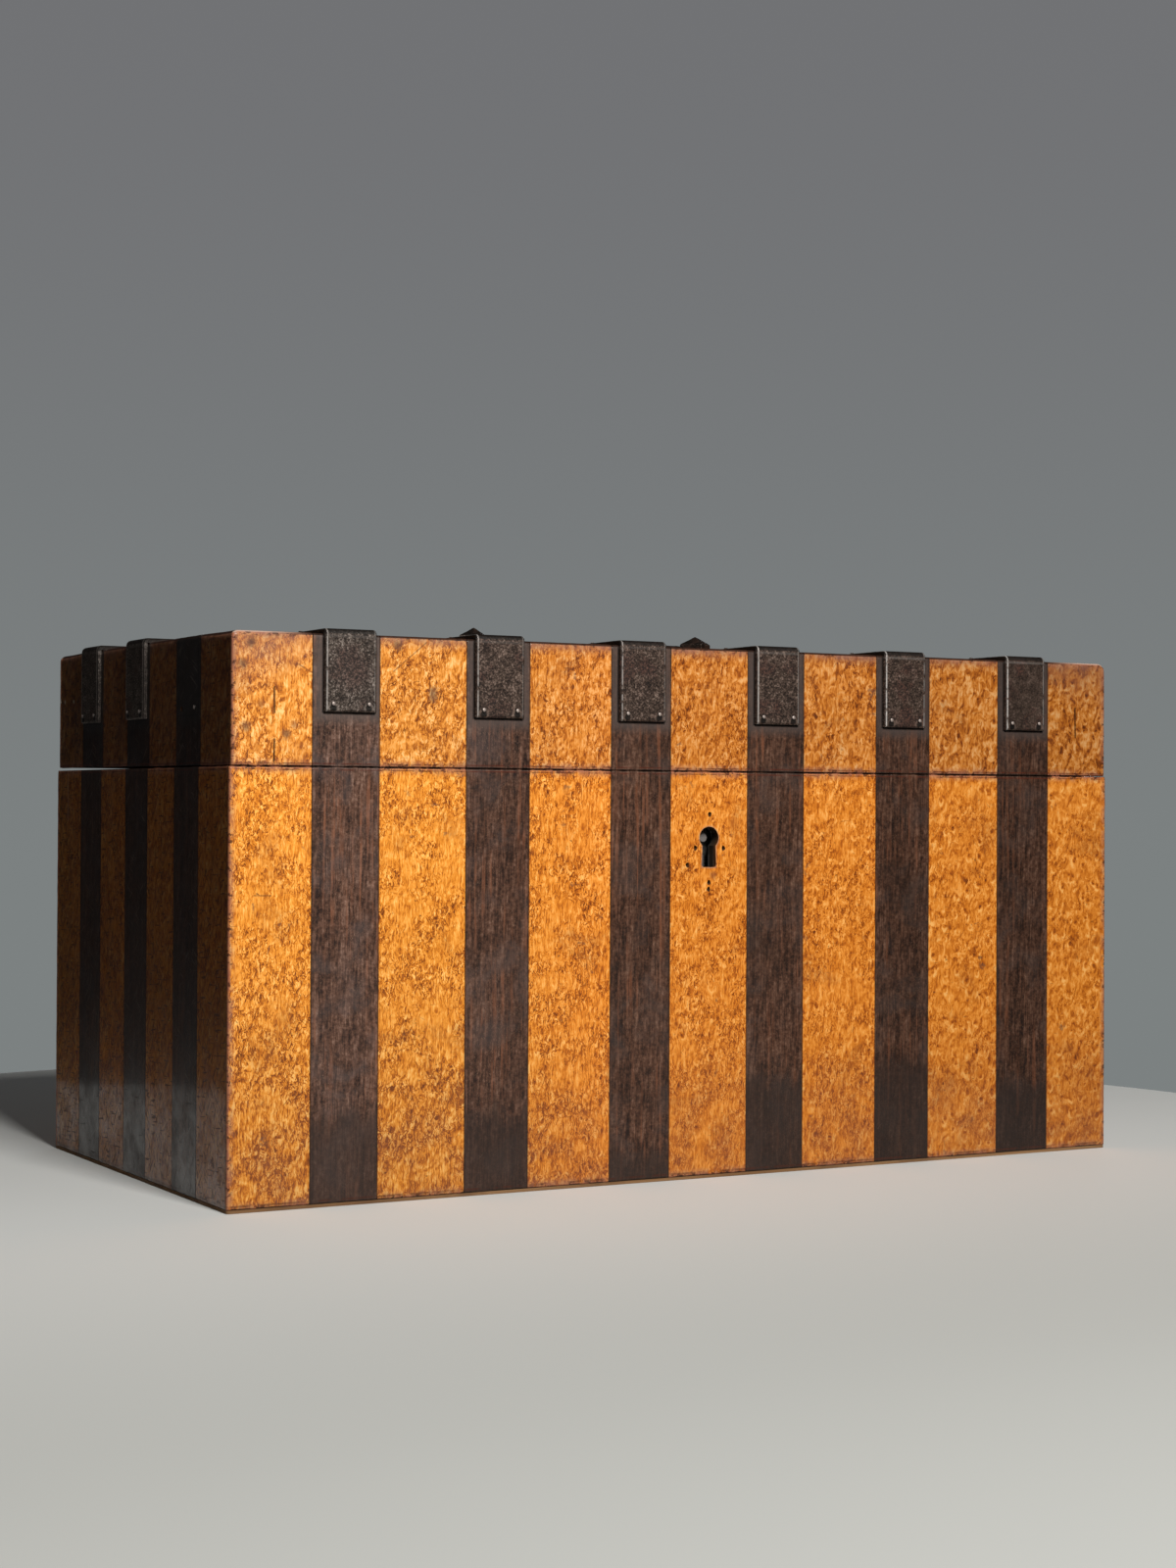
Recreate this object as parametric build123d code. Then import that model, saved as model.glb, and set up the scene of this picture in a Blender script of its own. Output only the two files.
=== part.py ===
from build123d import *
from math import cos, radians, sin
import os

# Striped parquetry box with a hinged lid, iron clips, a bail handle and a mortised lock.
#
# Sizes are in millimetres. The box stands on z = 0 with its length along X, its front facing -Y and
# its origin under the middle of the case. Strips of bird's eye maple and rosewood, one veneer thick,
# cover a carcass of plain boards. An L-shaped iron clip sits over the lid's edge at each rosewood
# strip, apart from one on the left end, which is lost and has left a pin and pin holes behind.

# The box
box_length = 289.0
box_depth = 144.5
case_height = 115.0
lid_height = 35.0
board = 7.8  # thickness of the carcass's wall boards
bottom_thickness = 6.0
base_sheet_thickness = 0.8
lid_top_thickness = 7.0
veneer = 1.2
edge_round = 0.95  # rounding of the outer corners and of the lid's top edge
edge_ease = 0.3  # small chamfer along the seam and the base
seam_front = 0.12  # the lid stands a little proud on its hinges, so the seam widens to the back
seam_back = 0.9
lid_shrinkage = 0.5  # how far the lid stays inside the case at each end

# The strips: maple at both ends of a face, rosewood between
long_rosewood_count = 6
long_rosewood_width = 19.2
long_end_maple_width = 22.9
end_rosewood_count = 3
end_rosewood_width = 18.6
end_end_maple_width = 22.8

# The iron clips and their pins
clip_width = 14.8
clip_thickness = 1.3
clip_leg = 21.4
clip_bend = 1.9  # outer radius at the lid's edge
clip_bevel = 0.4
clip_pin_inset = 2.3  # from a clip's sides and ends to its pins
clip_pin_bore = 0.5
clip_pin_shank = 0.45
clip_pin_head = 0.8
clip_pin_dome = 0.45
clip_pin_length = 7.0  # with the tapered point
clip_pin_taper = 1.5
lost_clip = 0  # which rosewood strip of the left end has lost its clip, counted from the front

# The keyhole, and the holes that its lost escutcheon left
keyhole_drop = 18.7  # from the rim down to the centre of the round part
keyhole_radius = 3.1
keyhole_slot_width = 4.2
keyhole_length = 11.4
scar_radius = 0.5
scar_depth = 3.0
scar_offsets = [(0.2, 6.6), (-4.5, -2.9), (4.8, -3.0), (0.0, -12.7), (-0.1, -14.6), (-7.1, -7.7)]

# The lock
lock_skin = 2.0  # wood left in front of the lock
lock_plate_width = 62.0
lock_plate_height = 34.0
lock_plate_thickness = 1.2
selvedge_thickness = 1.5
lock_cap_width = 46.0
lock_cap_height = 31.0
lock_cap_wall = 0.8
lock_fit = 0.1  # clearance round the lock's pieces
lock_screw_length = 5.5
drill_pin_radius = 1.2
drill_pin_setback = 3.3  # from the case's face to the pin's tip
staple_spacing = 24.0
staple_thickness = 1.6
staple_width = 2.6
staple_drop = 8.5  # below the link plate
staple_rail = 1.4  # metal left under the staple's eye
staple_eye_height = 3.2
staple_eye_width = 1.7
staple_slot_fit = 0.5
bolt_travel = 4.0
bolt_bar_height = 5.0
bolt_bar_thickness = 1.8
bolt_finger_height = 2.2
bolt_finger_thickness = 1.1
bolt_upright = 1.8
bolt_gap = 0.4  # from a finger's tip to its staple when unlocked
bolt_bar_drop = 9.6  # from the rim to the bar's top
talon_width = 6.0
talon_depth = 1.8
spring_leaf = 0.5
spring_length = 12.0
spring_fit = 0.2
link_plate_length = 42.0
link_plate_thickness = 1.2

# The hinges
hinge_length = 38.0
hinge_inset = 27.0  # from the case's end to the hinge
hinge_leaf_width = 9.5
hinge_leaf_thickness = 1.0
hinge_barrel_radius = 2.2
hinge_pin_radius = 1.0
hinge_running_fit = 0.05
hinge_knuckle_gap = 0.3
hinge_proud = 1.0  # from the back face out to the hinge's axis
hinge_groove_fit = 0.3
hinge_pin_head_radius = 1.6
hinge_pin_head = 0.4
lid_opening = 100.0  # degrees, where the hinges' heels stop the lid
heel_length = 3.4  # from the hinge's axis
heel_thickness = 1.6
heel_fit = 0.2

# Countersunk wood screws
screw_head = 1.9
screw_shank = 0.95
screw_taper = 2.5
hinge_screw_length = 7.0
screw_slot_width = 0.5
screw_slot_depth = 0.5
screw_row = 13.0  # spacing of the three screws in a hinge leaf

# The handle on the lid
post_spacing = 78.0
post_side = 7.4
post_turn = 36.0  # degrees, each post is set cornerwise
post_wall = 6.1  # height of the post's upright sides
post_point = 2.6  # height of the pointed top above them
post_shank_radius = 2.0
post_shank_fit = 0.1
nut_side = 7.0
nut_corner = 0.7
nut_thickness = 2.6
nut_recess_radius = 5.2
bail_axis_height = 2.9
bail_stub_radius = 2.6
bail_bar_width = 5.0
bail_bar_height = 5.0
bail_arm_centre = 28.0  # from the lid's middle to an arm's centre line
bail_reach = 26.0  # from the axis to the grip's centre line
bail_bend = 5.5  # outer radius of the grip's corners
bail_edge = 0.7
bail_side_fit = 0.3
pivot_radius = 1.5
pivot_fit = 0.06
pivot_length = 3.0  # beyond the post's corner
pivot_end_fit = 0.2

# Worked out
half_length = box_length / 2
half_depth = box_depth / 2
rim = case_height
lid_top = case_height + lid_height
lid_half_length = half_length - lid_shrinkage
rounding = min(edge_round, 0.8 * veneer)
carcass_front = -half_depth + veneer
inner_front = carcass_front + board
inner_back = -inner_front
floor_top = base_sheet_thickness + bottom_thickness
lid_ceiling = lid_top - veneer - lid_top_thickness
hinge_axis_y = half_depth + hinge_proud
hinge_axis_z = rim + seam_back / 2
hinge_centre = half_length - hinge_inset - hinge_length / 2
keyhole_z = rim - keyhole_drop
pocket_front = carcass_front + lock_skin
clip_pin_side = clip_width / 2 - clip_pin_inset
clip_pin_reach = clip_leg - clip_pin_inset
post_x = post_spacing / 2
post_reach = post_side / 2**0.5  # from a post's middle to its corners
bail_axis_z = lid_top + bail_axis_height
beyond = 5.0  # how far a cutting tool runs past what it cuts


def block(x, y, z):
    """A box given by its low and high bounds on each axis."""
    size = [high - low for low, high in (x, y, z)]
    middle = [(high + low) / 2 for low, high in (x, y, z)]
    return Pos(*middle) * Box(*size)


def cylinder_along(axis, centre, radius, length):
    """A cylinder along +X, +Y or +Z, starting at centre."""
    turn = {"x": Rot(0, 90, 0), "y": Rot(-90, 0, 0), "z": Rot(0, 0, 0)}[axis]
    low = (Align.CENTER, Align.CENTER, Align.MIN)
    return Pos(*centre) * turn * Cylinder(radius, length, align=low)


def union(shapes):
    """The shapes joined into one."""
    joined = shapes[0]
    for shape in shapes[1:]:
        joined += shape
    return joined


def pointed_rod(radius, length, taper):
    """A round rod down from z = 0 that ends in a cone with a small flat tip."""
    shaft = cylinder_along("z", (0, 0, taper - length), radius, length - taper)
    tip = Cone(0.2 * radius, radius, taper, align=(Align.CENTER, Align.CENTER, Align.MAX))
    return shaft + Pos(0, 0, taper - length) * tip


def write(name, *shapes):
    """Writes one sub-part as parts/NAME.step, each piece a separate solid."""
    solids = [solid for shape in shapes for solid in shape.solids()]
    whole = solids[0] if len(solids) == 1 else Compound(children=solids)
    export_step(whole, f"parts/{name}.step")


def seam_height(y):
    """Height of the lid's underside at this depth."""
    share = (y + half_depth) / box_depth
    return rim + seam_front + (seam_back - seam_front) * share


def below_lid():
    """Everything under the lid's underside, for cutting the lid's pieces to the sloping seam."""
    near, far = -half_depth - beyond, half_depth + beyond
    profile = Polygon(
        (near, rim - lid_height),
        (far, rim - lid_height),
        (far, seam_height(far)),
        (near, seam_height(near)),
        align=None,
    )
    sketch = Plane.YZ.offset(-half_length - beyond) * profile
    return extrude(sketch, box_length + 2 * beyond)


def strip_bounds(length, count, rosewood, end_maple):
    """(rosewood bounds, maple bounds) of the strips along a face of this length, centred on 0."""
    inner_maple = (length - 2 * end_maple - count * rosewood) / (count - 1)
    dark, light = [], [(-length / 2, -length / 2 + end_maple)]
    for i in range(count):
        start = -length / 2 + end_maple + i * (rosewood + inner_maple)
        dark.append((start, start + rosewood))
        light.append((start + rosewood, start + rosewood + inner_maple))
    light[-1] = (light[-1][0], length / 2)
    return dark, light


def clipped(bounds, length):
    """Strip bounds with the outermost ones drawn in to a shorter face."""
    half = length / 2
    return [[(max(a, -half), min(b, half)) for a, b in pairs] for pairs in bounds]


def long_strips(length=box_length):
    """The strips of the front and the back, in line with each other on case and lid."""
    bounds = strip_bounds(box_length, long_rosewood_count, long_rosewood_width, long_end_maple_width)
    return clipped(bounds, length)


def end_strips(length=box_depth):
    """The strips of the two ends."""
    bounds = strip_bounds(box_depth, end_rosewood_count, end_rosewood_width, end_end_maple_width)
    return clipped(bounds, length)


# Faces: a whole veneered face is shaped first and then sawn into its strips


def eased_face(length, low, high, top_rounded, corners):
    """A veneer sheet facing -Y, its outer face at y = 0, with its outer edges rounded or eased."""
    sheet = block((-length / 2, length / 2), (0, veneer), (low, high))
    outer = sheet.edges().group_by(Axis.Y)[0]
    rounded = []
    if corners:
        rounded += outer.filter_by(Axis.Z)
    if top_rounded:
        rounded += outer.filter_by(Axis.X).sort_by(Axis.Z)[-1:]
        if corners:
            rounded += sheet.edges().filter_by(Axis.Y).group_by(Axis.Z)[-1]
    if rounded:
        sheet = fillet(rounded, rounding)
    flat = sheet.edges().filter_by(Axis.X).group_by(Axis.Y)[0].sort_by(Axis.Z)
    eased = flat[:1] if top_rounded else ShapeList([flat[0], flat[-1]])
    return chamfer(eased, edge_ease)


def sawn(sheet, bounds, low, high):
    """The strips of a sheet that faces -Y, one solid for each pair of bounds."""
    return [sheet & block(pair, (-beyond, veneer + beyond), (low, high)) for pair in bounds]


def face_strips(length, low, high, top_rounded, corners, bounds):
    """(rosewood strips, maple strips) of a face, still facing -Y with its outer face at y = 0."""
    sheet = eased_face(length, low, high, top_rounded, corners)
    return [sawn(sheet, pairs, low - beyond, high + beyond) for pairs in bounds]


def on_side(side, shape, half_x=half_length):
    """Moves a shape made for the front, with its outer face at y = 0, onto one side of the box."""
    place = {
        "front": Pos(0, -half_depth, 0),
        "back": Pos(0, half_depth, 0) * Rot(0, 0, 180),
        "left": Pos(-half_x, 0, 0) * Rot(0, 0, -90),
        "right": Pos(half_x, 0, 0) * Rot(0, 0, 90),
    }[side]
    return place * shape


def keyhole(y_from, y_to, spare=0.0):
    """The keyhole as a solid to cut with, between two depths."""
    radius = keyhole_radius + spare
    half_slot = keyhole_slot_width / 2 + spare
    foot = keyhole_z + keyhole_radius - keyhole_length - spare
    bulb = cylinder_along("y", (0, y_from, keyhole_z), radius, y_to - y_from)
    slot = block((-half_slot, half_slot), (y_from, y_to), (foot, keyhole_z))
    return bulb + slot


def escutcheon_scars():
    """The pin holes of the lost escutcheon."""
    start = -half_depth - beyond
    return [
        cylinder_along("y", (x, start, keyhole_z + z), scar_radius, beyond + scar_depth)
        for x, z in scar_offsets
    ]


def hinge_grooves():
    """Room for the hinges' barrels, all the way round their axis."""
    radius = hinge_barrel_radius + hinge_groove_fit
    length = hinge_length + 2 * (hinge_pin_head + hinge_groove_fit)
    return [
        cylinder_along("x", (side * hinge_centre - length / 2, hinge_axis_y, hinge_axis_z), radius, length)
        for side in (-1, 1)
    ]


def leaf_bounds(side):
    """X and Y bounds of one hinge's leaves."""
    middle = side * hinge_centre
    x = (middle - hinge_length / 2, middle + hinge_length / 2)
    return x, (hinge_axis_y - hinge_leaf_width, hinge_axis_y)


def leaf_height(leaf):
    """Z bounds of a leaf: the case's lies in the rim, the lid's in the lid's underside."""
    if leaf == "case":
        return rim - hinge_leaf_thickness, rim
    return rim + seam_back, rim + seam_back + hinge_leaf_thickness


def leaf_recesses(leaf):
    low, high = leaf_height(leaf)
    low, high = (low, high + beyond) if leaf == "case" else (low - beyond, high)
    cutters = []
    for side in (-1, 1):
        x, y = leaf_bounds(side)
        cutters.append(block(x, (y[0], y[1] + beyond), (low, high)))
    return cutters


def cut(shapes, cutters):
    """Each shape less the cutters whose bounds meet it."""
    done = []
    for shape in shapes:
        box = shape.bounding_box()
        for cutter in cutters:
            if box.overlaps(cutter.bounding_box()):
                shape = shape - cutter
        done.append(shape)
    return done


# The case


def case_boards():
    """The base sheet, the bottom and the four walls."""
    half_x, half_y = half_length, half_depth
    carcass_x = half_x - veneer
    base = block((-half_x, half_x), (-half_y, half_y), (0, base_sheet_thickness))
    corners = base.edges().filter_by(Axis.Z)
    base = fillet(corners, rounding)
    write("base_sheet", base)
    bottom = block(
        (-carcass_x, carcass_x), (carcass_front, -carcass_front), (base_sheet_thickness, floor_top)
    )
    write("bottom_board", bottom)
    walls = (floor_top, rim)
    front = block((-carcass_x, carcass_x), (carcass_front, inner_front), walls)
    selvedge_seat = (rim - selvedge_thickness, rim + beyond)
    half_cap = lock_cap_width / 2 + lock_fit
    half_plate = lock_plate_width / 2
    front -= block(
        (-half_cap, half_cap), (pocket_front, inner_front), (rim - lock_cap_height - lock_fit, rim)
    )
    front -= block((-half_plate, half_plate), (pocket_front, inner_front), selvedge_seat)
    front -= block(
        (-half_plate, half_plate),
        (inner_front - lock_plate_thickness, inner_front + beyond),
        (rim - lock_plate_height, rim + beyond),
    )
    front -= keyhole(carcass_front - beyond, pocket_front + beyond)
    (front,) = cut([front], escutcheon_scars())
    write("case_front_board", front)
    back = block((-carcass_x, carcass_x), (inner_back, -carcass_front), walls)
    (back,) = cut([back], leaf_recesses("case") + hinge_grooves())
    write("case_back_board", back)
    for name, side in (("left", -1), ("right", 1)):
        x = sorted((side * carcass_x, side * (carcass_x - board)))
        write(f"case_{name}_board", block(x, (inner_front, inner_back), walls))


def case_strips():
    """The case's strips, from the base sheet to the rim."""
    low, high = base_sheet_thickness, rim
    fronts = face_strips(box_length, low, high, False, True, long_strips())
    holes = [keyhole(-half_depth - beyond, carcass_front + beyond)] + escutcheon_scars()
    hinge_cuts = leaf_recesses("case") + hinge_grooves()
    for wood, strips in zip(("rosewood", "maple"), fronts):
        front = [on_side("front", strip) for strip in strips]
        write(f"case_front_{wood}", *cut(front, holes))
        back = [on_side("back", strip) for strip in strips]
        write(f"case_back_{wood}", *cut(back, hinge_cuts))
    span = box_depth - 2 * veneer
    ends = face_strips(span, low, high, False, False, end_strips(span))
    for wood, strips in zip(("rosewood", "maple"), ends):
        for side in ("left", "right"):
            write(f"case_{side}_{wood}", *[on_side(side, strip) for strip in strips])


# The lid


def post_holes():
    """Through holes for the posts' shanks, with a recess below for each nut."""
    cutters = []
    for side in (-1, 1):
        start = (side * post_x, 0, lid_ceiling - beyond)
        length = lid_top - lid_ceiling + 2 * beyond
        cutters.append(cylinder_along("z", start, post_shank_radius + post_shank_fit, length))
        cutters.append(cylinder_along("z", start, nut_recess_radius, beyond + nut_thickness))
    return cutters


def lid_boards():
    """The lid's top board and its four rails."""
    carcass_x = lid_half_length - veneer
    top = block(
        (-carcass_x, carcass_x), (carcass_front, -carcass_front), (lid_ceiling, lid_top - veneer)
    )
    for cutter in post_holes():
        top -= cutter
    write("lid_top_board", top)
    under = below_lid()
    rails = (rim - beyond, lid_ceiling)
    front = block((-carcass_x, carcass_x), (carcass_front, inner_front), rails) - under
    front -= link_plate_blank(beyond)
    write("lid_front_rail", front)
    back = block((-carcass_x, carcass_x), (inner_back, -carcass_front), rails) - under
    (back,) = cut([back], leaf_recesses("lid") + hinge_grooves())
    write("lid_back_rail", back)
    for name, side in (("left", -1), ("right", 1)):
        x = sorted((side * carcass_x, side * (carcass_x - board)))
        write(f"lid_{name}_rail", block(x, (inner_front, inner_back), rails) - under)


def lid_side_strips():
    """The strips on the lid's four sides, up to its rounded top edge."""
    under = below_lid()
    length = 2 * lid_half_length
    low = rim + seam_front
    fronts = face_strips(length, low, lid_top, True, True, long_strips(length))
    hinge_cuts = leaf_recesses("lid") + hinge_grooves()
    for wood, strips in zip(("rosewood", "maple"), fronts):
        write(f"lid_front_{wood}", *[on_side("front", strip) - under for strip in strips])
        back = [on_side("back", strip) - under for strip in strips]
        write(f"lid_back_{wood}", *cut(back, hinge_cuts))
    span = box_depth - 2 * veneer
    ends = face_strips(span, low, lid_top, True, False, end_strips(span))
    scars = lost_clip_holes()
    for wood, strips in zip(("rosewood", "maple"), ends):
        left = [on_side("left", strip, lid_half_length) - under for strip in strips]
        write(f"lid_left_{wood}", *cut(left, scars))
        right = [on_side("right", strip, lid_half_length) - under for strip in strips]
        write(f"lid_right_{wood}", *right)


def lid_top_strips():
    """The strips on the lid's top, in line with the front's, framed by the side strips' edges."""
    length = 2 * lid_half_length
    bounds = long_strips(length - 2 * veneer)
    cutters = post_holes() + lost_clip_holes()
    for wood, pairs in zip(("rosewood", "maple"), bounds):
        strips = [
            block(pair, (carcass_front, -carcass_front), (lid_top - veneer, lid_top)) for pair in pairs
        ]
        write(f"lid_top_{wood}", *cut(strips, cutters))


# The clips


def clip():
    """An L-shaped clip for the front edge: the lid's edge runs along X through the origin."""
    t, leg = clip_thickness, clip_leg
    outline = Polygon((-t, t), (-t, -leg), (0, -leg), (0, 0), (leg, 0), (leg, t), align=None)
    corners = outline.vertices()
    outline = fillet(corners.sort_by_distance((-t, t))[0], clip_bend)
    outline = fillet(outline.vertices().sort_by_distance((0, 0))[0], max(clip_bend - t, 0.1))
    solid = extrude(Plane.YZ.offset(-clip_width / 2) * outline, clip_width)

    def outer(edge):
        return all(max(-v.Y, v.Z) > t - 1e-3 for v in edge.vertices())

    sides = [edge for edge in solid.edges() if outer(edge) and abs(edge.center().X) > clip_width / 4]
    ends = [
        edge
        for edge in solid.edges().filter_by(Axis.X)
        if outer(edge) and (edge.center().Y > leg - 1e-3 or edge.center().Z < 1e-3 - leg)
    ]
    solid = chamfer(sides + ends, clip_bevel)
    for hole in clip_pin_holes(clip_pin_bore):
        solid -= hole
    return solid


def clip_pin_holes(radius):
    """The four pin holes of a clip, two in each leg."""
    return [pin_hole(x, kind, radius) for x in (-clip_pin_side, clip_pin_side) for kind in ("y", "z")]


def pin_hole(x, kind, radius):
    """A hole for a pin through one leg of a clip: y for the front leg, z for the top leg."""
    if kind == "y":
        return cylinder_along("y", (x, -beyond, -clip_pin_reach), radius, beyond + clip_pin_length)
    start = (x, clip_pin_reach, -clip_pin_length)
    return cylinder_along("z", start, radius, beyond + clip_pin_length)


def pin():
    """A domed pin standing along +Z, with its head's underside at z = 0."""
    ball = (clip_pin_head**2 + clip_pin_dome**2) / (2 * clip_pin_dome)
    head = Pos(0, 0, clip_pin_dome - ball) * Sphere(ball)
    head &= cylinder_along("z", (0, 0, 0), clip_pin_head, clip_pin_dome)
    return head + pointed_rod(clip_pin_shank, clip_pin_length, clip_pin_taper)


def clip_pins():
    """The four pins of a clip, in the clip's own frame."""
    one = pin()
    pins = []
    for x in (-clip_pin_side, clip_pin_side):
        pins.append(Pos(x, -clip_thickness, -clip_pin_reach) * Rot(90, 0, 0) * one)
        pins.append(Pos(x, clip_pin_reach, clip_thickness) * one)
    return pins


def on_edge(side, along, shape):
    """Moves a clip or its pins to a place along one of the lid's top edges."""
    offsets = {"front": along, "back": -along, "left": -along, "right": along}
    return on_side(side, Pos(offsets[side], 0, lid_top) * shape, lid_half_length)


def middle(pair):
    return (pair[0] + pair[1]) / 2


def clip_places():
    """(side, place along that side in the box's frame, number) of each clip."""
    long_places = [middle(pair) for pair in long_strips()[0]]
    end_places = [middle(pair) for pair in end_strips()[0]]
    places = []
    for side in ("front", "back"):
        places += [(side, x, i) for i, x in enumerate(long_places)]
    places += [("left", y, i) for i, y in enumerate(end_places) if i != lost_clip]
    places += [("right", y, i) for i, y in enumerate(end_places)]
    return places


def lost_clip_holes():
    """The pin holes that the lost clip left in the lid's left end and top."""
    place = middle(end_strips()[0][lost_clip])
    return [on_edge("left", place, hole) for hole in clip_pin_holes(clip_pin_shank)]


def clips():
    """Each clip of the front and the left end, the others in two groups, and all the pins."""
    one, pins = clip(), clip_pins()
    groups = {"right": [], "back": []}
    all_pins = []
    for side, along, number in clip_places():
        placed = on_edge(side, along, one)
        all_pins += [on_edge(side, along, each) for each in pins]
        if side in groups:
            groups[side].append(placed)
        else:
            write(f"clip_{side}_{number + 1}", placed)
    for side, group in groups.items():
        write(f"clips_{side}", *group)
    stray = Pos(clip_pin_side, 0, -clip_pin_reach) * Rot(90, 0, 0) * pin()
    lost_place = middle(end_strips()[0][lost_clip])
    write("clip_pins", *all_pins, on_edge("left", lost_place, stray))


# The handle


def handle_post(side):
    """A square post with a pointed top, set cornerwise, whose shank goes through the lid."""
    square = Rectangle(post_side, post_side)
    walls = extrude(square, post_wall)
    point = loft([(Pos(0, 0, post_wall) * square).face(), Vertex(0, 0, post_wall + post_point)])
    post = Rot(0, 0, side * post_turn) * (walls + point)
    shank_length = lid_top - lid_ceiling
    post += cylinder_along("z", (0, 0, -shank_length), post_shank_radius, shank_length)
    hole_length = pivot_length + pivot_end_fit
    inner = -side * post_reach
    start = min(inner, inner + side * hole_length)
    hole = cylinder_along("x", (start, 0, bail_axis_height), pivot_radius + pivot_fit, hole_length)
    return Pos(side * post_x, 0, lid_top) * (post - hole)


def nut():
    """A square nut with cut corners, in the recess under the lid's top board."""
    square = chamfer(Rectangle(nut_side, nut_side).vertices(), nut_corner)
    ring = extrude(square, nut_thickness)
    return ring - cylinder_along("z", (0, 0, -beyond), post_shank_radius, nut_thickness + 2 * beyond)


def handle():
    """Two posts bolted through the lid and the bail that swings between them."""
    for name, side in (("left", -1), ("right", 1)):
        write(f"handle_post_{name}", handle_post(side))
    write("handle_nuts", *[Pos(side * post_x, 0, lid_ceiling) * nut() for side in (-1, 1)])
    write("handle_bail", Pos(0, 0, bail_axis_z) * bail())


def bail():
    """The bail lying back on the lid, its ends turned outwards into the posts."""
    half_bar = bail_bar_width / 2
    arm_out = bail_arm_centre + half_bar
    arm_in = bail_arm_centre - half_bar
    far, near = bail_reach + half_bar, bail_reach - half_bar
    outer = Pos(0, far / 2) * Rectangle(2 * arm_out, far)
    outer = fillet(outer.vertices().group_by(Axis.Y)[-1], bail_bend)
    inner = Pos(0, (near - beyond) / 2) * Rectangle(2 * arm_in, near + beyond)
    inner = fillet(inner.vertices().group_by(Axis.Y)[-1], max(bail_bend - bail_bar_width, 0.5))
    bow = extrude(Plane.XY.offset(-bail_bar_height / 2) * (outer - inner), bail_bar_height)
    edges = bow.faces().filter_by(Axis.Z).edges().filter_by(lambda edge: edge.center().Y > bail_edge)
    bow = chamfer(edges, bail_edge)
    stub_end = post_x - post_reach - bail_side_fit
    parts = [bow]
    for side in (-1, 1):
        stub = sorted((side * arm_in, side * stub_end))
        pivot = sorted((side * stub_end, side * (post_x - post_reach + pivot_length)))
        for (low, high), radius in ((stub, bail_stub_radius), (pivot, pivot_radius)):
            parts.append(cylinder_along("x", (low, 0, 0), radius, high - low))
    return union(parts)


# The lock


def screw_and_seat(length):
    """A countersunk screw down along Z with its head's flat at z = 0, and the solid that seats it."""
    head_height = screw_head - screw_shank
    head = Cone(screw_shank, screw_head, head_height, align=(Align.CENTER, Align.CENTER, Align.MAX))
    seat = head + pointed_rod(screw_shank, length, screw_taper)
    slot = Box(3 * screw_head, screw_slot_width, 2 * screw_slot_depth)
    return seat - slot, seat


def lock():
    """The lock in its pocket behind the keyhole."""
    screw, seat = screw_and_seat(lock_screw_length)
    half_plate = lock_plate_width / 2
    mid = lock_mid_y()
    plate_y = (inner_front - lock_plate_thickness, inner_front)
    plate_foot = rim - lock_plate_height
    plate = block((-half_plate, half_plate), plate_y, (plate_foot, rim))
    selvedge_y = (pocket_front, inner_front)
    plate += block((-half_plate, half_plate), selvedge_y, (rim - selvedge_thickness, rim))
    half_slot_x = staple_thickness / 2 + staple_slot_fit
    half_slot_y = staple_width / 2 + staple_slot_fit
    for x in (-staple_spacing / 2, staple_spacing / 2):
        slot_x = (x - half_slot_x, x + half_slot_x)
        plate -= block(slot_x, (mid - half_slot_y, mid + half_slot_y), (rim - beyond, rim + beyond))
    screw_x = (half_plate + lock_cap_width / 2 + lock_fit) / 2
    screw_heights = (rim - lock_plate_height / 3, plate_foot + 2 * screw_head)
    places = [
        Pos(x, inner_front, z) * Rot(-90, 0, 0) for x in (-screw_x, screw_x) for z in screw_heights
    ]
    places += [Pos(x, mid, rim) for x in (-screw_x, screw_x)]
    for place in places:
        plate -= place * seat
    write("lock_plate", plate)
    write("lock_screws", *[place * screw for place in places])

    half_cap = lock_cap_width / 2
    wall = lock_cap_wall
    cap_y = (pocket_front + lock_fit, plate_y[0])
    cap_z = (rim - lock_cap_height, rim - selvedge_thickness)
    cap = block((-half_cap, half_cap), cap_y, cap_z)
    cavity_x = (-half_cap + wall, half_cap - wall)
    cap -= block(cavity_x, (cap_y[0] + wall, cap_y[1]), (cap_z[0] + wall, cap_z[1]))
    cap -= keyhole(cap_y[0] - beyond, cap_y[0] + wall, lock_fit)
    write("lock_cap", cap)

    tip = (0, -half_depth + drill_pin_setback, keyhole_z)
    write("lock_drill_pin", cylinder_along("y", tip, drill_pin_radius, plate_y[0] - tip[1]))
    write("lock_bolt", lock_bolt())

    bolt_y = (mid - bolt_bar_thickness / 2, mid + bolt_bar_thickness / 2)
    top = rim - bolt_bar_drop - bolt_bar_height - spring_fit
    end = cavity_x[1]
    leaf = block((end - spring_length, end), bolt_y, (top - spring_leaf, top))
    foot = block((end - spring_leaf, end), bolt_y, (top - spring_length / 2, top))
    write("lock_spring", leaf + foot)


def lock_mid_y():
    """Depth of the middle of the lock's cavity, where the bolt slides and the staples come down."""
    cavity_front = pocket_front + lock_fit + lock_cap_wall
    cavity_back = inner_front - lock_plate_thickness
    return (cavity_front + cavity_back) / 2


def eye_z():
    """Z bounds of the staples' eyes."""
    foot = link_bottom() - staple_drop
    return foot + staple_rail, foot + staple_rail + staple_eye_height


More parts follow.
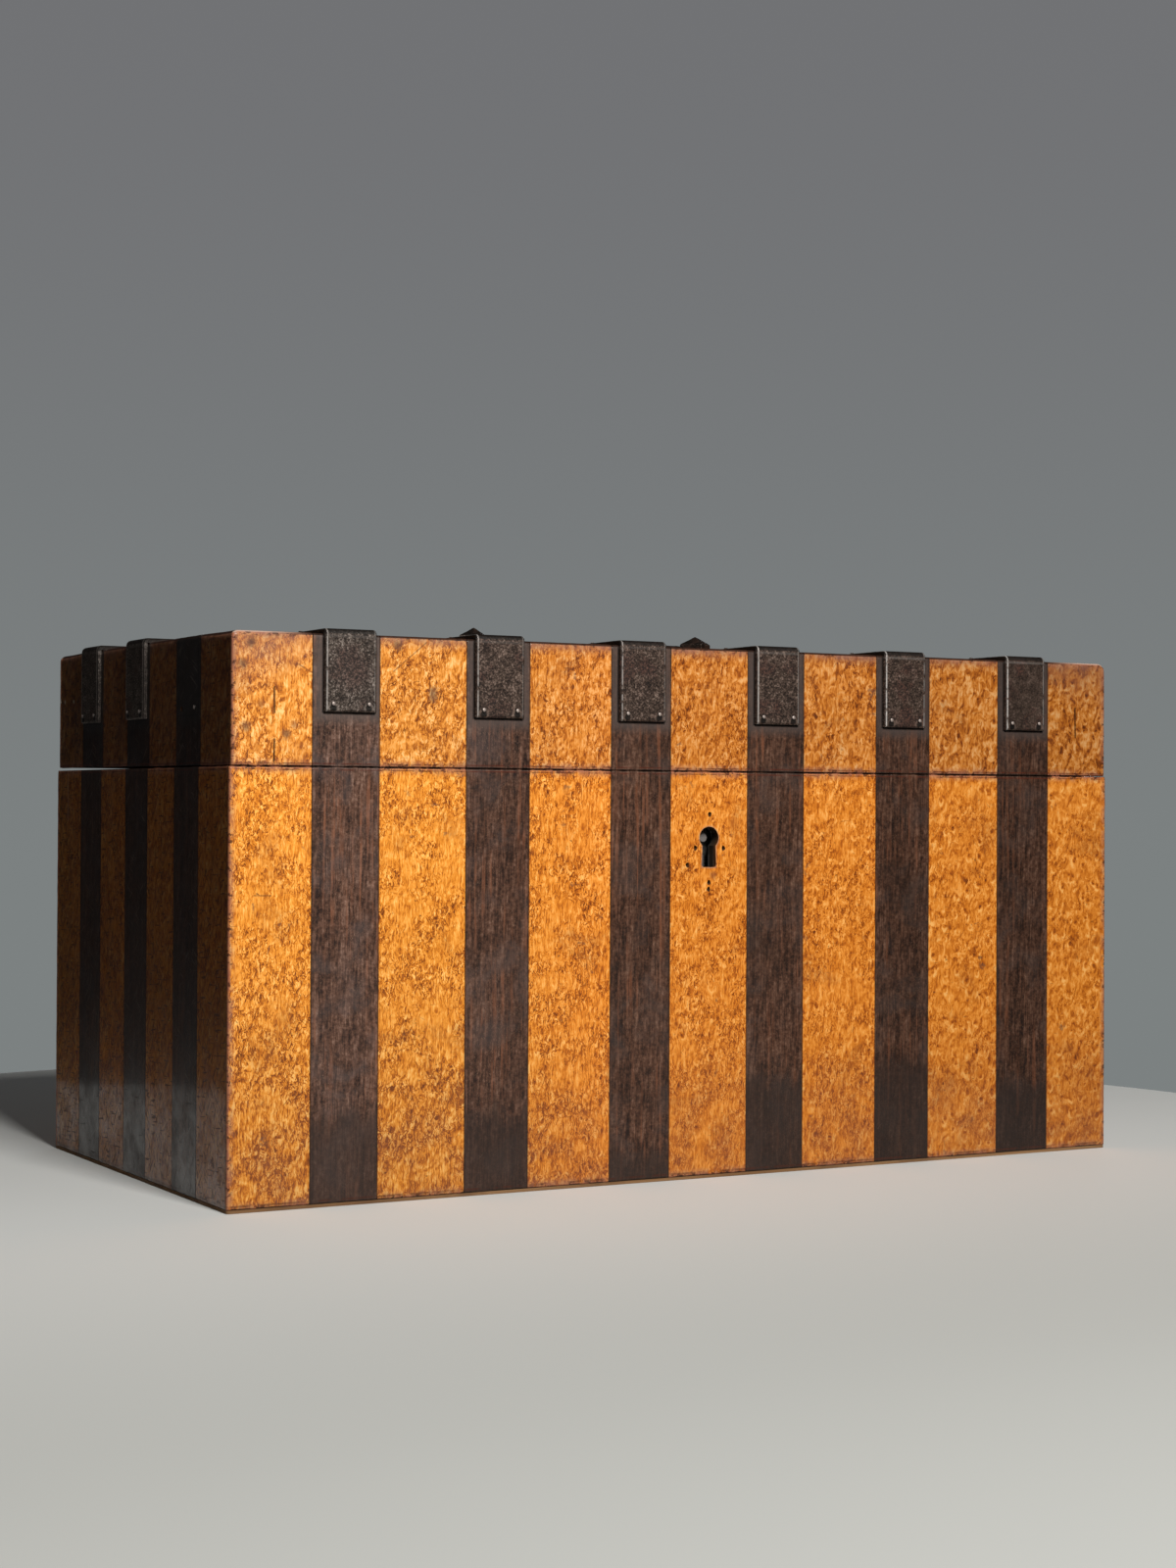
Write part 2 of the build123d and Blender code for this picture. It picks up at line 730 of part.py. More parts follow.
def lock_bolt():
    """The sliding bolt, unlocked: a bar with two fingers that pass through the staples' eyes."""
    mid = lock_mid_y()
    bar_top = rim - bolt_bar_drop
    bar_foot = bar_top - bolt_bar_height
    bar_y = (mid - bolt_bar_thickness / 2, mid + bolt_bar_thickness / 2)
    finger_y = (mid - bolt_finger_thickness / 2, mid + bolt_finger_thickness / 2)
    eye_middle = middle(eye_z())
    finger_z = (eye_middle - bolt_finger_height / 2, eye_middle + bolt_finger_height / 2)
    reach = staple_thickness / 2 + bolt_gap
    roots = []
    pieces = []
    for x in (-staple_spacing / 2, staple_spacing / 2):
        tip = x - reach
        root = tip - bolt_travel - bolt_gap
        roots.append(root - bolt_upright)
        pieces.append(block((root - bolt_upright, tip), finger_y, finger_z))
        pieces.append(block((root - bolt_upright, root), bar_y, (bar_foot, finger_z[1])))
    pieces.append(block((roots[0], staple_spacing / 2 - reach), bar_y, (bar_foot, bar_top)))
    talon_x = (-talon_width / 2, talon_width / 2)
    talon = block(talon_x, (mid - beyond, mid + beyond), (bar_foot - beyond, bar_foot + talon_depth))
    return union(pieces) - talon


def link_bottom():
    """Height of the link plate's underside, flush in the lid's front rail."""
    return seam_height(lock_mid_y())


def link_plate_blank(spare=0.0):
    """The link plate before its screw holes. With spare depth below, it cuts the plate's seat."""
    half = link_plate_length / 2
    low = link_bottom()
    return block((-half, half), (pocket_front, inner_front), (low - spare, low + link_plate_thickness))


def link_plate():
    """The plate in the lid's front rail with its two staples, and its screws."""
    screw, seat = screw_and_seat(lock_screw_length)
    mid = lock_mid_y()
    low = link_bottom()
    screw_x = link_plate_length / 2 - 1.5 * screw_head
    places = [Pos(x, mid, low) * Rot(180, 0, 0) for x in (-screw_x, screw_x)]
    plate = link_plate_blank()
    for place in places:
        plate -= place * seat
    for x in (-staple_spacing / 2, staple_spacing / 2):
        staple_x = (x - staple_thickness / 2, x + staple_thickness / 2)
        plate += block(staple_x, (mid - staple_width / 2, mid + staple_width / 2), (low - staple_drop, low))
        plate -= block(staple_x, (mid - staple_eye_width / 2, mid + staple_eye_width / 2), eye_z())
    write("lock_link_plate", plate)
    write("lock_link_screws", *[place * screw for place in places])


# The hinges


def hinge_leaf(side, kind):
    """One leaf with its knuckles: the case's leaf has the outer two, the lid's the middle one."""
    x, y = leaf_bounds(side)
    low, high = leaf_height(kind)
    centre = side * hinge_centre
    third = hinge_length / 6
    outer = [(x[0], centre - third), (centre + third, x[1])]
    inner = [(centre - third + hinge_knuckle_gap, centre + third - hinge_knuckle_gap)]
    own, other = (outer, inner) if kind == "case" else (inner, outer)
    plate = block(x, y, (low, high))
    clear = hinge_barrel_radius + hinge_knuckle_gap
    for start, end in other:
        gap_x = (start - hinge_knuckle_gap, end + hinge_knuckle_gap)
        plate -= block(gap_x, (hinge_axis_y - clear, hinge_axis_y + clear), (low - beyond, high + beyond))
    for start, end in own:
        barrel = (start, hinge_axis_y, hinge_axis_z)
        plate += cylinder_along("x", barrel, hinge_barrel_radius, end - start)
    if kind == "lid":
        plate += heel(inner[0])
    bore = hinge_pin_radius + hinge_running_fit
    plate -= cylinder_along(
        "x", (x[0] - beyond, hinge_axis_y, hinge_axis_z), bore, hinge_length + 2 * beyond
    )
    _, seat = screw_and_seat(hinge_screw_length)
    for place in leaf_screw_places(side, kind):
        plate -= place * seat
    return plate


def heel(x):
    """The heel behind the lid's knuckle, which comes up against the case's back at full opening."""
    turned = radians(lid_opening)
    drop = (hinge_proud - heel_fit + heel_length * cos(turned)) / sin(turned)
    foot = hinge_axis_z - drop
    return block(x, (hinge_axis_y, hinge_axis_y + heel_length), (foot, foot + heel_thickness))


def leaf_screw_places(side, kind):
    low, high = leaf_height(kind)
    y = hinge_axis_y - hinge_leaf_width + 1.6 * screw_head
    z, turn = (high, Rot(0, 0, 0)) if kind == "case" else (low, Rot(180, 0, 0))
    return [Pos(side * hinge_centre + i * screw_row, y, z) * turn for i in (-1, 0, 1)]


def hinge_pin(side):
    start = side * hinge_centre - hinge_length / 2
    ends = ((start - hinge_pin_head, hinge_pin_head, hinge_pin_head_radius),)
    ends += ((start, hinge_length, hinge_pin_radius),)
    ends += ((start + hinge_length, hinge_pin_head, hinge_pin_head_radius),)
    axis = (hinge_axis_y, hinge_axis_z)
    return union([cylinder_along("x", (at, *axis), radius, length) for at, length, radius in ends])


def hinges():
    """Two stopped butt hinges with their pins and screws."""
    screw, _ = screw_and_seat(hinge_screw_length)
    for kind in ("case", "lid"):
        for name, side in (("left", -1), ("right", 1)):
            write(f"hinge_{name}_{kind}_leaf", hinge_leaf(side, kind))
        places = [place for side in (-1, 1) for place in leaf_screw_places(side, kind)]
        write(f"hinge_{kind}_screws", *[place * screw for place in places])
    write("hinge_pins", *[hinge_pin(side) for side in (-1, 1)])


os.makedirs("parts", exist_ok=True)
case_boards()
case_strips()
lid_boards()
lid_side_strips()
lid_top_strips()
clips()
handle()
lock()
link_plate()
hinges()
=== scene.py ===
import random
from functools import reduce
from math import atan2, cos, pi, radians, sin
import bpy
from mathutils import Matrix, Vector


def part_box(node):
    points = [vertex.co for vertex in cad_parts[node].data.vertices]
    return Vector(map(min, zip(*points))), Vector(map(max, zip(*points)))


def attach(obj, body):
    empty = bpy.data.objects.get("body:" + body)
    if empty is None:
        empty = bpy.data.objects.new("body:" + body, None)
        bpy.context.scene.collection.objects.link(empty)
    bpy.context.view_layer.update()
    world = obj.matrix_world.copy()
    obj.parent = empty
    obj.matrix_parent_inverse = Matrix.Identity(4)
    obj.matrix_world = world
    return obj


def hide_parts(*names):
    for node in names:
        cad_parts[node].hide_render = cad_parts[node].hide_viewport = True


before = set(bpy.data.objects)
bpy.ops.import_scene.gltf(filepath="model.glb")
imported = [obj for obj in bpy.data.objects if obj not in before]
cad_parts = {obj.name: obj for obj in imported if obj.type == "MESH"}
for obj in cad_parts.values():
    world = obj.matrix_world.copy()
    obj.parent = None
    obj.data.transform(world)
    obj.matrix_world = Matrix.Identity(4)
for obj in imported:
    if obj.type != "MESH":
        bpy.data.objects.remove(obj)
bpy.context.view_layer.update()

from types import SimpleNamespace

import bmesh
import bpy
import numpy as np
from mathutils import Euler, Matrix, Vector, noise
from mathutils.kdtree import KDTree

mm = 0.001
far = 3 * mm  # edge distances are kept as this less the distance, so that 0 means far from an edge
crease_angle = radians(48)  # edges sharper than this stay sharp in the shading

# The box, in metres, read from its own pieces
case_low, case_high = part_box("case_front_maple")
lid_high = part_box("lid_front_maple")[1]
box_half_length = case_high.x
box_half_depth = -case_low.y
rim_height = case_high.z
lid_top = lid_high.z

# How the camera stood
camera_place = (-0.38547, -0.69710, 0.10541)
camera_yaw = radians(28.98299738)
camera_pitch = radians(0.46439106)
camera_roll = radians(0.30264344)
camera_lens = 59.367
sensor_width = 36.0

# The floor's round part behind the box
floor_centre = (-0.028, 0.001, -0.00005)
floor_round = 0.3

# Rounding of the veneer's edges
corner_round = 0.4 * mm
crown_round = 0.6 * mm
seam_round = 0.32 * mm
foot_round = 0.3 * mm
joint_round = 0.07 * mm
end_round = {-1: (0.7 * mm, 1.8 * mm), 1: (0.7 * mm, 2.6 * mm)}  # the lid's ends, midway and at the corners
end_round_from = 48 * mm
end_round_run = 17 * mm
largest_round = 1.1 * mm
strip_waviness = 0.05 * mm
strip_step = 0.05 * mm
column_spacing = 22 * mm

# The clips
clip_width = 14.8 * mm
clip_thickness = 1.3 * mm
clip_bend = 1.4 * mm
clip_reach = 22.5 * mm
clip_border = 0.42 * mm
clip_border_drop = 0.36 * mm
clip_hammering = 0.09 * mm
first_clip_right = -100 * mm  # the first clip and its pins are left of this
first_clip_slide = 0.8 * mm
first_clip_short = 0.7 * mm
first_clip_rust = (-111.0 * mm, -box_half_depth, 140.5 * mm)

# The pins
clip_pin_side = 5.1 * mm
clip_pin_end = 2.0 * mm
pin_head_radius = 0.66 * mm
pin_dome = 0.42 * mm
pin_shank_radius = 0.45 * mm
pin_length = 7.0 * mm
pin_sides = 14

# The keyhole and the holes that its lost plate left
keyhole_z = 96.3 * mm
keyhole_radius = 3.1 * mm
keyhole_half_slot = 2.1 * mm
keyhole_foot_z = 88.0 * mm
keyhole_wear = 0.07 * mm
plate_pin_holes = [(0.2, 6.6), (-4.5, -2.9), (4.8, -3.0), (0.0, -12.7), (-0.1, -14.6), (-7.1, -7.7)]
plate_pin_hole_radius = 0.52 * mm
lost_clip_hole_radius = 0.5 * mm
hole_height = 1.25  # against its width

# The large marks on the maple: radius, strength and colour of each kind, then where each one starts and ends
old_mark_kinds = {
    "crack": (0.45 * mm, 1.0, (0.030, 0.010, 0.004)),
    "scratch": (0.32 * mm, 0.7, (0.150, 0.050, 0.020)),
    "smudge": (2.2 * mm, 0.75, (0.125, 0.062, 0.042)),
    "rusty": (1.8 * mm, 0.6, (0.230, 0.075, 0.035)),
    "chip": (1.1 * mm, 1.0, (1.0, 0.85, 0.62)),
    "fine": (0.45 * mm, 0.6, (0.60, 0.36, 0.25)),
}


def on_front(kind, *ends):
    """A mark on the front, from (x, z) in millimetres."""
    return kind, [(x * mm, -box_half_depth, z * mm) for x, z in (ends * 2)[:2]]


def on_left(kind, *ends):
    """A mark on the left end, from (y, z) in millimetres."""
    return kind, [(-box_half_length, y * mm, z * mm) for y, z in (ends * 2)[:2]]


old_mark_places = [
    on_front("crack", (-132.3, 135.5), (-132.2, 129.0)),
    on_front("crack", (-132.2, 122.0), (-132.3, 116.2)),
    on_front("crack", (132.3, 136.0), (132.4, 127.0)),
    on_front("scratch", (-137.6, 81.6), (-132.8, 81.5)),
    on_front("scratch", (-98.4, 140.6), (-88.8, 148.6)),
    on_front("scratch", (-125.5, 141.6), (-121.4, 139.4)),
    on_front("smudge", (-138.6, 147.0)),
    on_front("smudge", (-141.0, 141.4)),
    on_front("smudge", (-140.2, 125.2)),
    on_front("smudge", (-128.9, 123.4)),
    on_front("smudge", (-97.3, 147.4)),
    on_front("smudge", (-86.8, 135.6), (-86.8, 134.0)),
    on_front("rusty", (-135.9, 131.0)),
    on_front("rusty", (-126.6, 125.9)),
    on_front("rusty", (1.5, 85.6)),
    on_left("chip", (71.1, 136.1)),
    on_left("chip", (67.0, 135.9)),
    on_left("chip", (58.6, 135.7)),
    on_left("fine", (62.2, 128.7), (61.9, 100.0)),
]


def label_of(name):
    """A socket's label from a keyword: coat_ior is Coat IOR."""
    return name.replace("_", " ").title().replace("Ior", "IOR")


def both_ways(operation):
    """The methods of an operation with this value first, and with it second."""

    def first(self, other):
        return self.graph.math(operation, self, other)

    def second(self, other):
        return self.graph.math(operation, other, self)

    return first, second


class Value:
    """A node's output, which can be added, multiplied and compared as a number is."""

    __add__, __radd__ = both_ways("ADD")
    __sub__, __rsub__ = both_ways("SUBTRACT")
    __mul__, __rmul__ = both_ways("MULTIPLY")
    __truediv__, __rtruediv__ = both_ways("DIVIDE")
    __pow__ = both_ways("POWER")[0]
    __lt__ = both_ways("LESS_THAN")[0]
    __gt__ = both_ways("GREATER_THAN")[0]

    def __init__(self, graph, socket):
        self.graph, self.socket = graph, socket

    def __abs__(self):
        return self.graph.math("ABSOLUTE", self)


class Graph:
    """Puts nodes into a tree and joins them. A node is fed numbers, colours or other nodes' outputs."""

    def __init__(self, tree):
        self.tree = tree

    def put(self, kind, feeds=None, **settings):
        node = self.tree.nodes.new(kind)
        for name, value in settings.items():
            setattr(node, name, value)
        for key, value in (feeds or {}).items():
            self.feed(node.inputs[key], value)
        return node

    def feed(self, socket, value):
        value = getattr(value, "socket", value)
        if isinstance(value, bpy.types.NodeSocket):
            self.tree.links.new(value, socket)
        else:
            socket.default_value = value

    def value(self, kind, feeds=None, output=0, **settings):
        """One output of a new node."""
        return Value(self, self.put(kind, feeds, **settings).outputs[output])

    def values(self, node):
        """All outputs of a node, by name in small letters."""
        named = {socket.name.lower().replace(" ", "_"): Value(self, socket) for socket in node.outputs}
        return SimpleNamespace(**named)

    def math(self, operation, first, second=0.0, clamp=False):
        return self.value("ShaderNodeMath", {0: first, 1: second}, operation=operation, use_clamp=clamp)

    def larger(self, *values):
        return reduce(lambda first, second: self.math("MAXIMUM", first, second), values)

    def smaller(self, *values):
        return reduce(lambda first, second: self.math("MINIMUM", first, second), values)

    def vector(self, operation, first, second=(0, 0, 0)):
        output = "Value" if operation in ("LENGTH", "DISTANCE", "DOT_PRODUCT") else "Vector"
        return self.value("ShaderNodeVectorMath", {0: first, 1: second}, output, operation=operation)

    def scaled(self, vector, factor):
        return self.value("ShaderNodeVectorMath", {0: vector, "Scale": factor}, operation="SCALE")

    def split(self, vector):
        node = self.put("ShaderNodeSeparateXYZ", {0: vector})
        return [Value(self, socket) for socket in node.outputs]

    def join(self, x=0.0, y=0.0, z=0.0):
        return self.value("ShaderNodeCombineXYZ", {0: x, 1: y, 2: z})

    def noise(self, place, scale=1.0, detail=2.0, roughness=0.5, distortion=0.0, output=0):
        feeds = {"Vector": place, "Scale": scale, "Detail": detail, "Roughness": roughness}
        return self.value("ShaderNodeTexNoise", {**feeds, "Distortion": distortion}, output)

    def ramp(self, value, low, high, start=0.0, end=1.0):
        """A smooth step of the value from low to high."""
        feeds = {"Value": value, "From Min": low, "From Max": high, "To Min": start, "To Max": end}
        return self.value("ShaderNodeMapRange", feeds, interpolation_type="SMOOTHSTEP")

    def mix(self, factor, first, second, blend="MIX"):
        """One colour blended into another."""
        first, second = ((*colour, 1) if isinstance(colour, tuple) else colour for colour in (first, second))
        feeds = {0: factor, 6: first, 7: second}
        return self.value("ShaderNodeMix", feeds, 2, data_type="RGBA", blend_type=blend)

    def colours(self, value, stops):
        """A colour from a value, through (position, colour) stops."""
        node = self.put("ShaderNodeValToRGB", {0: value})
        ramp = node.color_ramp
        for _ in range(len(stops) - 2):
            ramp.elements.new(0.5)
        for element, (position, colour) in zip(ramp.elements, stops):
            element.position = position
            element.color = (*colour, 1)
        return node.outputs[0]

    def attribute(self, name, output="Fac"):
        return self.value("ShaderNodeAttribute", None, output, attribute_name=name)


FLOAT, VECTOR, WHOLE = "NodeSocketFloat", "NodeSocketVector", "NodeSocketInt"
GEOMETRY, MATERIAL, OBJECT = "NodeSocketGeometry", "NodeSocketMaterial", "NodeSocketObject"
shading, shaping = "ShaderNodeTree", "GeometryNodeTree"
triple = "FLOAT_VECTOR"


def tree_with(kind, name, **inputs):
    """A new node tree, and its inputs by name. An input is given as its kind or as its usual number."""
    tree = bpy.data.node_groups.new(name, kind)
    for label, given in inputs.items():
        usual = not isinstance(given, str)
        socket_type = (WHOLE if isinstance(given, int) else FLOAT) if usual else given
        socket = tree.interface.new_socket(label_of(label), in_out="INPUT", socket_type=socket_type)
        if usual:
            socket.default_value = given
    graph = Graph(tree)
    return graph, graph.values(graph.put("NodeGroupInput"))


def closed(graph, **results):
    """The tree with its named outputs."""
    kinds = {"VALUE": FLOAT, "VECTOR": VECTOR, "GEOMETRY": GEOMETRY}
    for name, value in results.items():
        kind = kinds[value.socket.type]
        graph.tree.interface.new_socket(label_of(name), in_out="OUTPUT", socket_type=kind)
    graph.put("NodeGroupOutput", {label_of(name): value for name, value in results.items()})
    return graph.tree


# Shader groups: effects that several materials use


def grain_group():
    """Wood grain: fine streaks, broad bands and pores, from (across, along, seed) in metres."""
    graph, given = tree_with(
        shading,
        "wood grain",
        figure=VECTOR,
        streak_width=0.0006,
        streak_length=0.02,
        band_width=0.006,
        band_length=0.08,
        wander=0.0,
        wander_size=0.002,
    )
    across, along, seed = graph.split(given.figure)
    shift = seed * 37.0
    bend_x = across / (given.wander_size * 1.6)
    bend = graph.noise(graph.join(bend_x, shift, along / given.wander_size), 1.0, 2.0, 0.5)
    across = across + (bend - 0.5) * (given.wander * 3.0)

    def stretched(width, length, offset, detail, roughness, distortion=0.0):
        place = graph.join(across / width, shift + offset, along / length)
        return graph.noise(place, 1.0, detail, roughness, distortion)

    streaks = stretched(given.streak_width, given.streak_length, 0.0, 4.0, 0.6)
    bands = stretched(given.band_width, given.band_length, 11.0, 3.0, 0.55, 0.4)
    pores = stretched(given.streak_width * 0.35, given.streak_length * 0.12, 23.0, 2.0, 0.5)
    return closed(graph, streaks=streaks, bands=bands, pores=graph.ramp(pores, 0.62, 0.72))


def wear_group():
    """Wear at an edge: a ragged mask from the distance to the edge."""
    graph, given = tree_with(shading, "edge wear", distance=1.0, width=0.0005, ragged=0.6, place=VECTOR)
    long_breaks = graph.noise(given.place, 160.0, 3.0, 0.6)
    fine_breaks = graph.noise(given.place, 1400.0, 2.0, 0.6)
    ragged = (long_breaks * 0.7 + fine_breaks * 0.3 - 0.5) * 3.0
    reach = graph.larger(given.width * (ragged * given.ragged + 1.0), 1e-6)
    return closed(graph, worn=graph.ramp(given.distance / reach, 1.0, 0.45))


def age_group():
    """Stains, dark specks and smears of old handling."""
    graph, given = tree_with(shading, "old handling", place=VECTOR, stain_size=0.02, speck_size=0.003)

    def sized(size):
        return graph.scaled(given.place, 1.0 / size)

    broad = graph.noise(sized(given.stain_size), 1.0, 5.0, 0.62, 0.6)
    specks = graph.noise(sized(given.speck_size), 1.0, 3.0, 0.65, 0.7)
    gathered = graph.ramp(graph.noise(sized(given.speck_size * 7.0), 1.0, 2.0, 0.6), 0.44, 0.60)
    smears = graph.noise(sized(given.stain_size * 0.6), 1.0, 6.0, 0.7)
    specks = graph.ramp(specks, 0.64, 0.71) * gathered
    return closed(graph, stains=graph.ramp(broad, 0.52, 0.72), specks=specks, smears=smears)


def tarnish_group():
    """Metal gone dull: patches, mottling and pits."""
    graph, given = tree_with(shading, "tarnish", place=VECTOR, patch_size=0.004)
    place = graph.scaled(given.place, 1.0 / given.patch_size)
    patches = graph.ramp(graph.noise(place, 1.0, 4.0, 0.6, 0.4), 0.42, 0.66)
    pits = graph.ramp(graph.noise(place, 16.0, 2.0, 0.5), 0.6, 0.74)
    return closed(graph, patches=patches, mottle=graph.noise(place, 7.0, 3.0, 0.65), pits=pits)


def eyes_group():
    """Bird's eyes: bends the grain round small scattered centres, each a pale hook round a dark middle."""
    graph, given = tree_with(shading, "birds eyes", figure=VECTOR, spacing=0.004, share=0.5)
    across, along, seed = graph.split(given.figure)
    x = across / given.spacing
    flat = graph.join(x, seed * 53.0, along / (given.spacing * 1.3))
    ragged = graph.noise(flat, 3.1, 1.0, output=1)
    flat = graph.vector("ADD", flat, graph.scaled(graph.vector("SUBTRACT", ragged, (0.5, 0.5, 0.5)), 0.30))
    cells = graph.values(graph.put("ShaderNodeTexVoronoi", {"Vector": flat, "Scale": 1.0}))
    away_x, _, away_z = graph.split(graph.vector("SUBTRACT", flat, cells.position))
    chance, size, _ = graph.split(cells.color)
    chosen = chance < given.share
    reach = size * 0.12 + 0.12
    share = graph.vector("LENGTH", graph.join(away_x, 0.0, away_z)) / reach

    def bell(value, width):
        return graph.math("EXPONENT", abs(value / width) ** 2.0 * -1.0)

    near = bell(share, 1.3) * chosen
    turn = size * 3.4 - 1.7
    opening = away_x * graph.math("SINE", turn) + away_z * graph.math("COSINE", turn)
    lower = graph.math("ADD", opening / reach * -0.55, 0.55, clamp=True)
    hook = bell(share - 1.0, 0.42) * lower
    middle = bell(away_z / reach * -0.45 + share, 0.75)
    bent_x = x - away_x * near * 0.8
    bent = graph.join(bent_x * given.spacing, along, seed)
    return closed(graph, bent=bent, relief=(hook * 1.5 - middle) * chosen, core=near)


def curl_group():
    """Curled grain as the polish shows it: each small wave painted light on one flank and dark on the other,
    as light from one side falls on it.
    """
    graph, given = tree_with(
        shading, "curled grain", figure=VECTOR, width=0.002, length=0.003, bend=1.2, slant=0.25
    )
    across, along, seed = graph.split(given.figure)
    flat = graph.join(across / given.width, seed * 29.0, along / given.length)
    swirl = graph.noise(flat, 0.6, 2.0, output=1)
    swirl = graph.scaled(graph.vector("SUBTRACT", swirl, (0.5, 0.5, 0.5)), given.bend * 2.0)
    place = graph.vector("ADD", flat, swirl)
    moved = graph.vector("ADD", place, graph.join(given.slant * -0.7, 0.0, given.slant))
    wave = graph.noise(place, 1.0, 2.0, 0.55)
    beside = graph.noise(moved, 1.0, 2.0, 0.55)
    ridge = graph.ramp(abs(wave - 0.5), 0.075, 0.0)
    return closed(graph, relief=(wave - beside) * 3.5, wave=wave, ridge=ridge)


def scratches_group():
    """Fine straight scratches and nicks in several directions: Deep ones catch dirt, Light ones the light."""
    graph, given = tree_with(
        shading, "scratches", figure=VECTOR, length=0.007, width=0.00022, amount=0.5
    )
    across, along, _ = graph.split(given.figure)

    def dashes(angle, shift):
        run = across * cos(angle) + along * sin(angle)
        over = along * cos(angle) - across * sin(angle)
        value = graph.noise(graph.join(run / given.length, shift, over / given.width), 1.0, 1.0, 0.4)
        low = given.amount * -0.10 + 0.80
        return graph.ramp(value, low, low + 0.05)

    deep = [dashes(angle, 3.0 + 7 * number) for number, angle in enumerate((0.06, 0.9, 2.3, 1.35))]
    light = [dashes(angle, 41.0 + 5 * number) for number, angle in enumerate((-0.5, 0.75, 1.2))]
    return closed(graph, deep=graph.larger(*deep), light=graph.larger(*light))


groups = {
    "grain": grain_group(),
    "wear": wear_group(),
    "age": age_group(),
    "tarnish": tarnish_group(),
    "eyes": eyes_group(),
    "curl": curl_group(),
    "scratches": scratches_group(),
}


# Materials


class Finish(Graph):
    """A material with one Principled shader."""

    def __init__(self, name, **values):
        self.material = bpy.data.materials.new(name)
        self.material.use_nodes = True
        super().__init__(self.material.node_tree)
        self.shader = self.tree.nodes["Principled BSDF"]
        for label, value in values.items():
            self.shader.inputs[label_of(label)].default_value = value

    def effect(self, name, **feeds):
        """One of the shared groups, placed with this material's own values."""
        feeds = {label_of(label): value for label, value in feeds.items()}
        return self.values(self.put("ShaderNodeGroup", feeds, node_tree=groups[name]))

    def place(self):
        return self.value("ShaderNodeTexCoord", output="Object")

    def distance(self, name):
        """The distance to an edge, from the closeness that the mesh keeps."""
        return far - self.attribute(name)

    def tint(self, strength, tint, blend="MIX"):
        """Lays a tint over the colour so far."""
        self.colour = self.mix(strength, self.colour, tint, blend)

    def tone(self, tone):
        """Makes the colour so far lighter or darker as a whole."""
        self.tint(1.0, self.value("ShaderNodeCombineColor", {0: tone, 1: tone, 2: tone}), "MULTIPLY")

    def surface(self, roughness, metallic, height, depth, coat=None):
        """The finished material."""
        values = {"Base Color": self.colour, "Roughness": roughness, "Metallic": metallic}
        values["Coat Weight"] = coat
        for label, value in values.items():
            if value is not None:
                self.feed(self.shader.inputs[label], value)
        bump = self.value("ShaderNodeBump", {"Height": height, "Distance": depth, "Strength": 1.0})
        self.feed(self.shader.inputs["Normal"], bump)
        return self.material


def added(start, *terms):
    """The start value and the terms (value, weight), summed."""
    total = start
    for value, weight in terms:
        total = value * weight + total
    return total


def band(finish, distance, middle, half):
    """A soft line at one distance from an edge."""
    off = abs(distance - middle)
    return finish.ramp(off, half, 0.35 * half)


def near_mark(finish, place, start, end):
    """The distance from a straight mark on a face."""
    run = Vector(end) - Vector(start)
    if run.length == 0:
        return finish.vector("DISTANCE", place, start)
    away = finish.vector("SUBTRACT", place, start)
    along = finish.vector("DOT_PRODUCT", away, tuple(run))
    share = finish.math("DIVIDE", along, run.length_squared, clamp=True)
    return finish.vector("DISTANCE", away, finish.scaled(tuple(run), share))


def old_marks(finish, place):
    """The few large marks on the maple: cracks, scratches, smudges, and chips at the left end's back edge."""
    ragged = finish.noise(place, 900.0, 3.0, 0.6) * 1.6 + 0.2
    for kind, (first, last) in old_mark_places:
        radius, strength, tint = old_mark_kinds[kind]
        away = near_mark(finish, place, first, last) / (ragged * radius)
        finish.tint(finish.ramp(away, 1.0, 0.1) * strength, tint)


def edge_lines(finish, place, across, pale):
    """Lines along the seam, the lid's top edge and the foot: a reddish-brown worn line beside the seam and a
    brown line above the foot, dark lines of painted shade at the seam, the foot and the lid's top edge, and
    pale lines of painted highlight beside the seam and round the lid's front corners.
    """
    seam, crown, base = (finish.distance(name) for name in ("near_seam", "near_crown", "near_base"))
    breaks = finish.ramp(finish.noise(place, 350.0, 3.0, 0.6), 0.36, 0.56)
    corner = finish.ramp(abs(across), 0.120, 0.138)
    leftwards = finish.ramp(across, 0.04, -0.06)
    # Beside the seam: a pale painted highlight, a reddish-brown worn line, and dark painted shade at the gap;
    # above the foot: a brown line and dark painted shadow.
    lines = [
        (band(finish, seam, 0.42 * mm, 0.15 * mm) * leftwards, 0.30, pale),
        (band(finish, seam, 0.75 * mm, 0.24 * mm), 0.70, (0.110, 0.022, 0.010)),
        (band(finish, seam, 0.0, 0.34 * mm), 0.95, (0.006, 0.003, 0.002)),
        (band(finish, base, 0.9 * mm, 0.4 * mm), 0.6, (0.075, 0.020, 0.010)),
        (band(finish, base, 0.0, 0.6 * mm), 0.8, (0.016, 0.010, 0.008)),
    ]
    for mask, strength, tint in lines:
        finish.tint(mask * strength * breaks, tint)
    corner = corner * (finish.split(place)[1] < 0.0)
    # Painted shade along the lid's rounded top edge, and a painted highlight where it rounds the front
    # corners.
    top = finish.ramp(crown, 0.80 * mm, 0.45 * mm) * (1.0 - corner)
    finish.tint(top * 0.92, (0.022, 0.009, 0.005))
    rubbed = finish.ramp(crown, 0.50 * mm, 0.2 * mm) * corner
    finish.tint(rubbed * 0.7, (0.72, 0.54, 0.44))


def polish(finish, age, marks, most, least):
    """How strong the polish is: dull in smears, gone in scratches."""
    coat = finish.ramp(age.smears, 0.35, 0.7, most, least) * finish.attribute("polish")
    return coat * (marks.deep * -0.85 + 1.0)


def painted_floor_light(finish, height):
    """The ends' wood painted paler towards the foot: painted light, such as the lit floor below sends onto
    it.
    """
    polished = finish.ramp(finish.attribute("polish"), 1.1, 2.0)
    finish.tone(finish.ramp(height, 0.05, 0.02) * polished * 0.7 + 1.0)


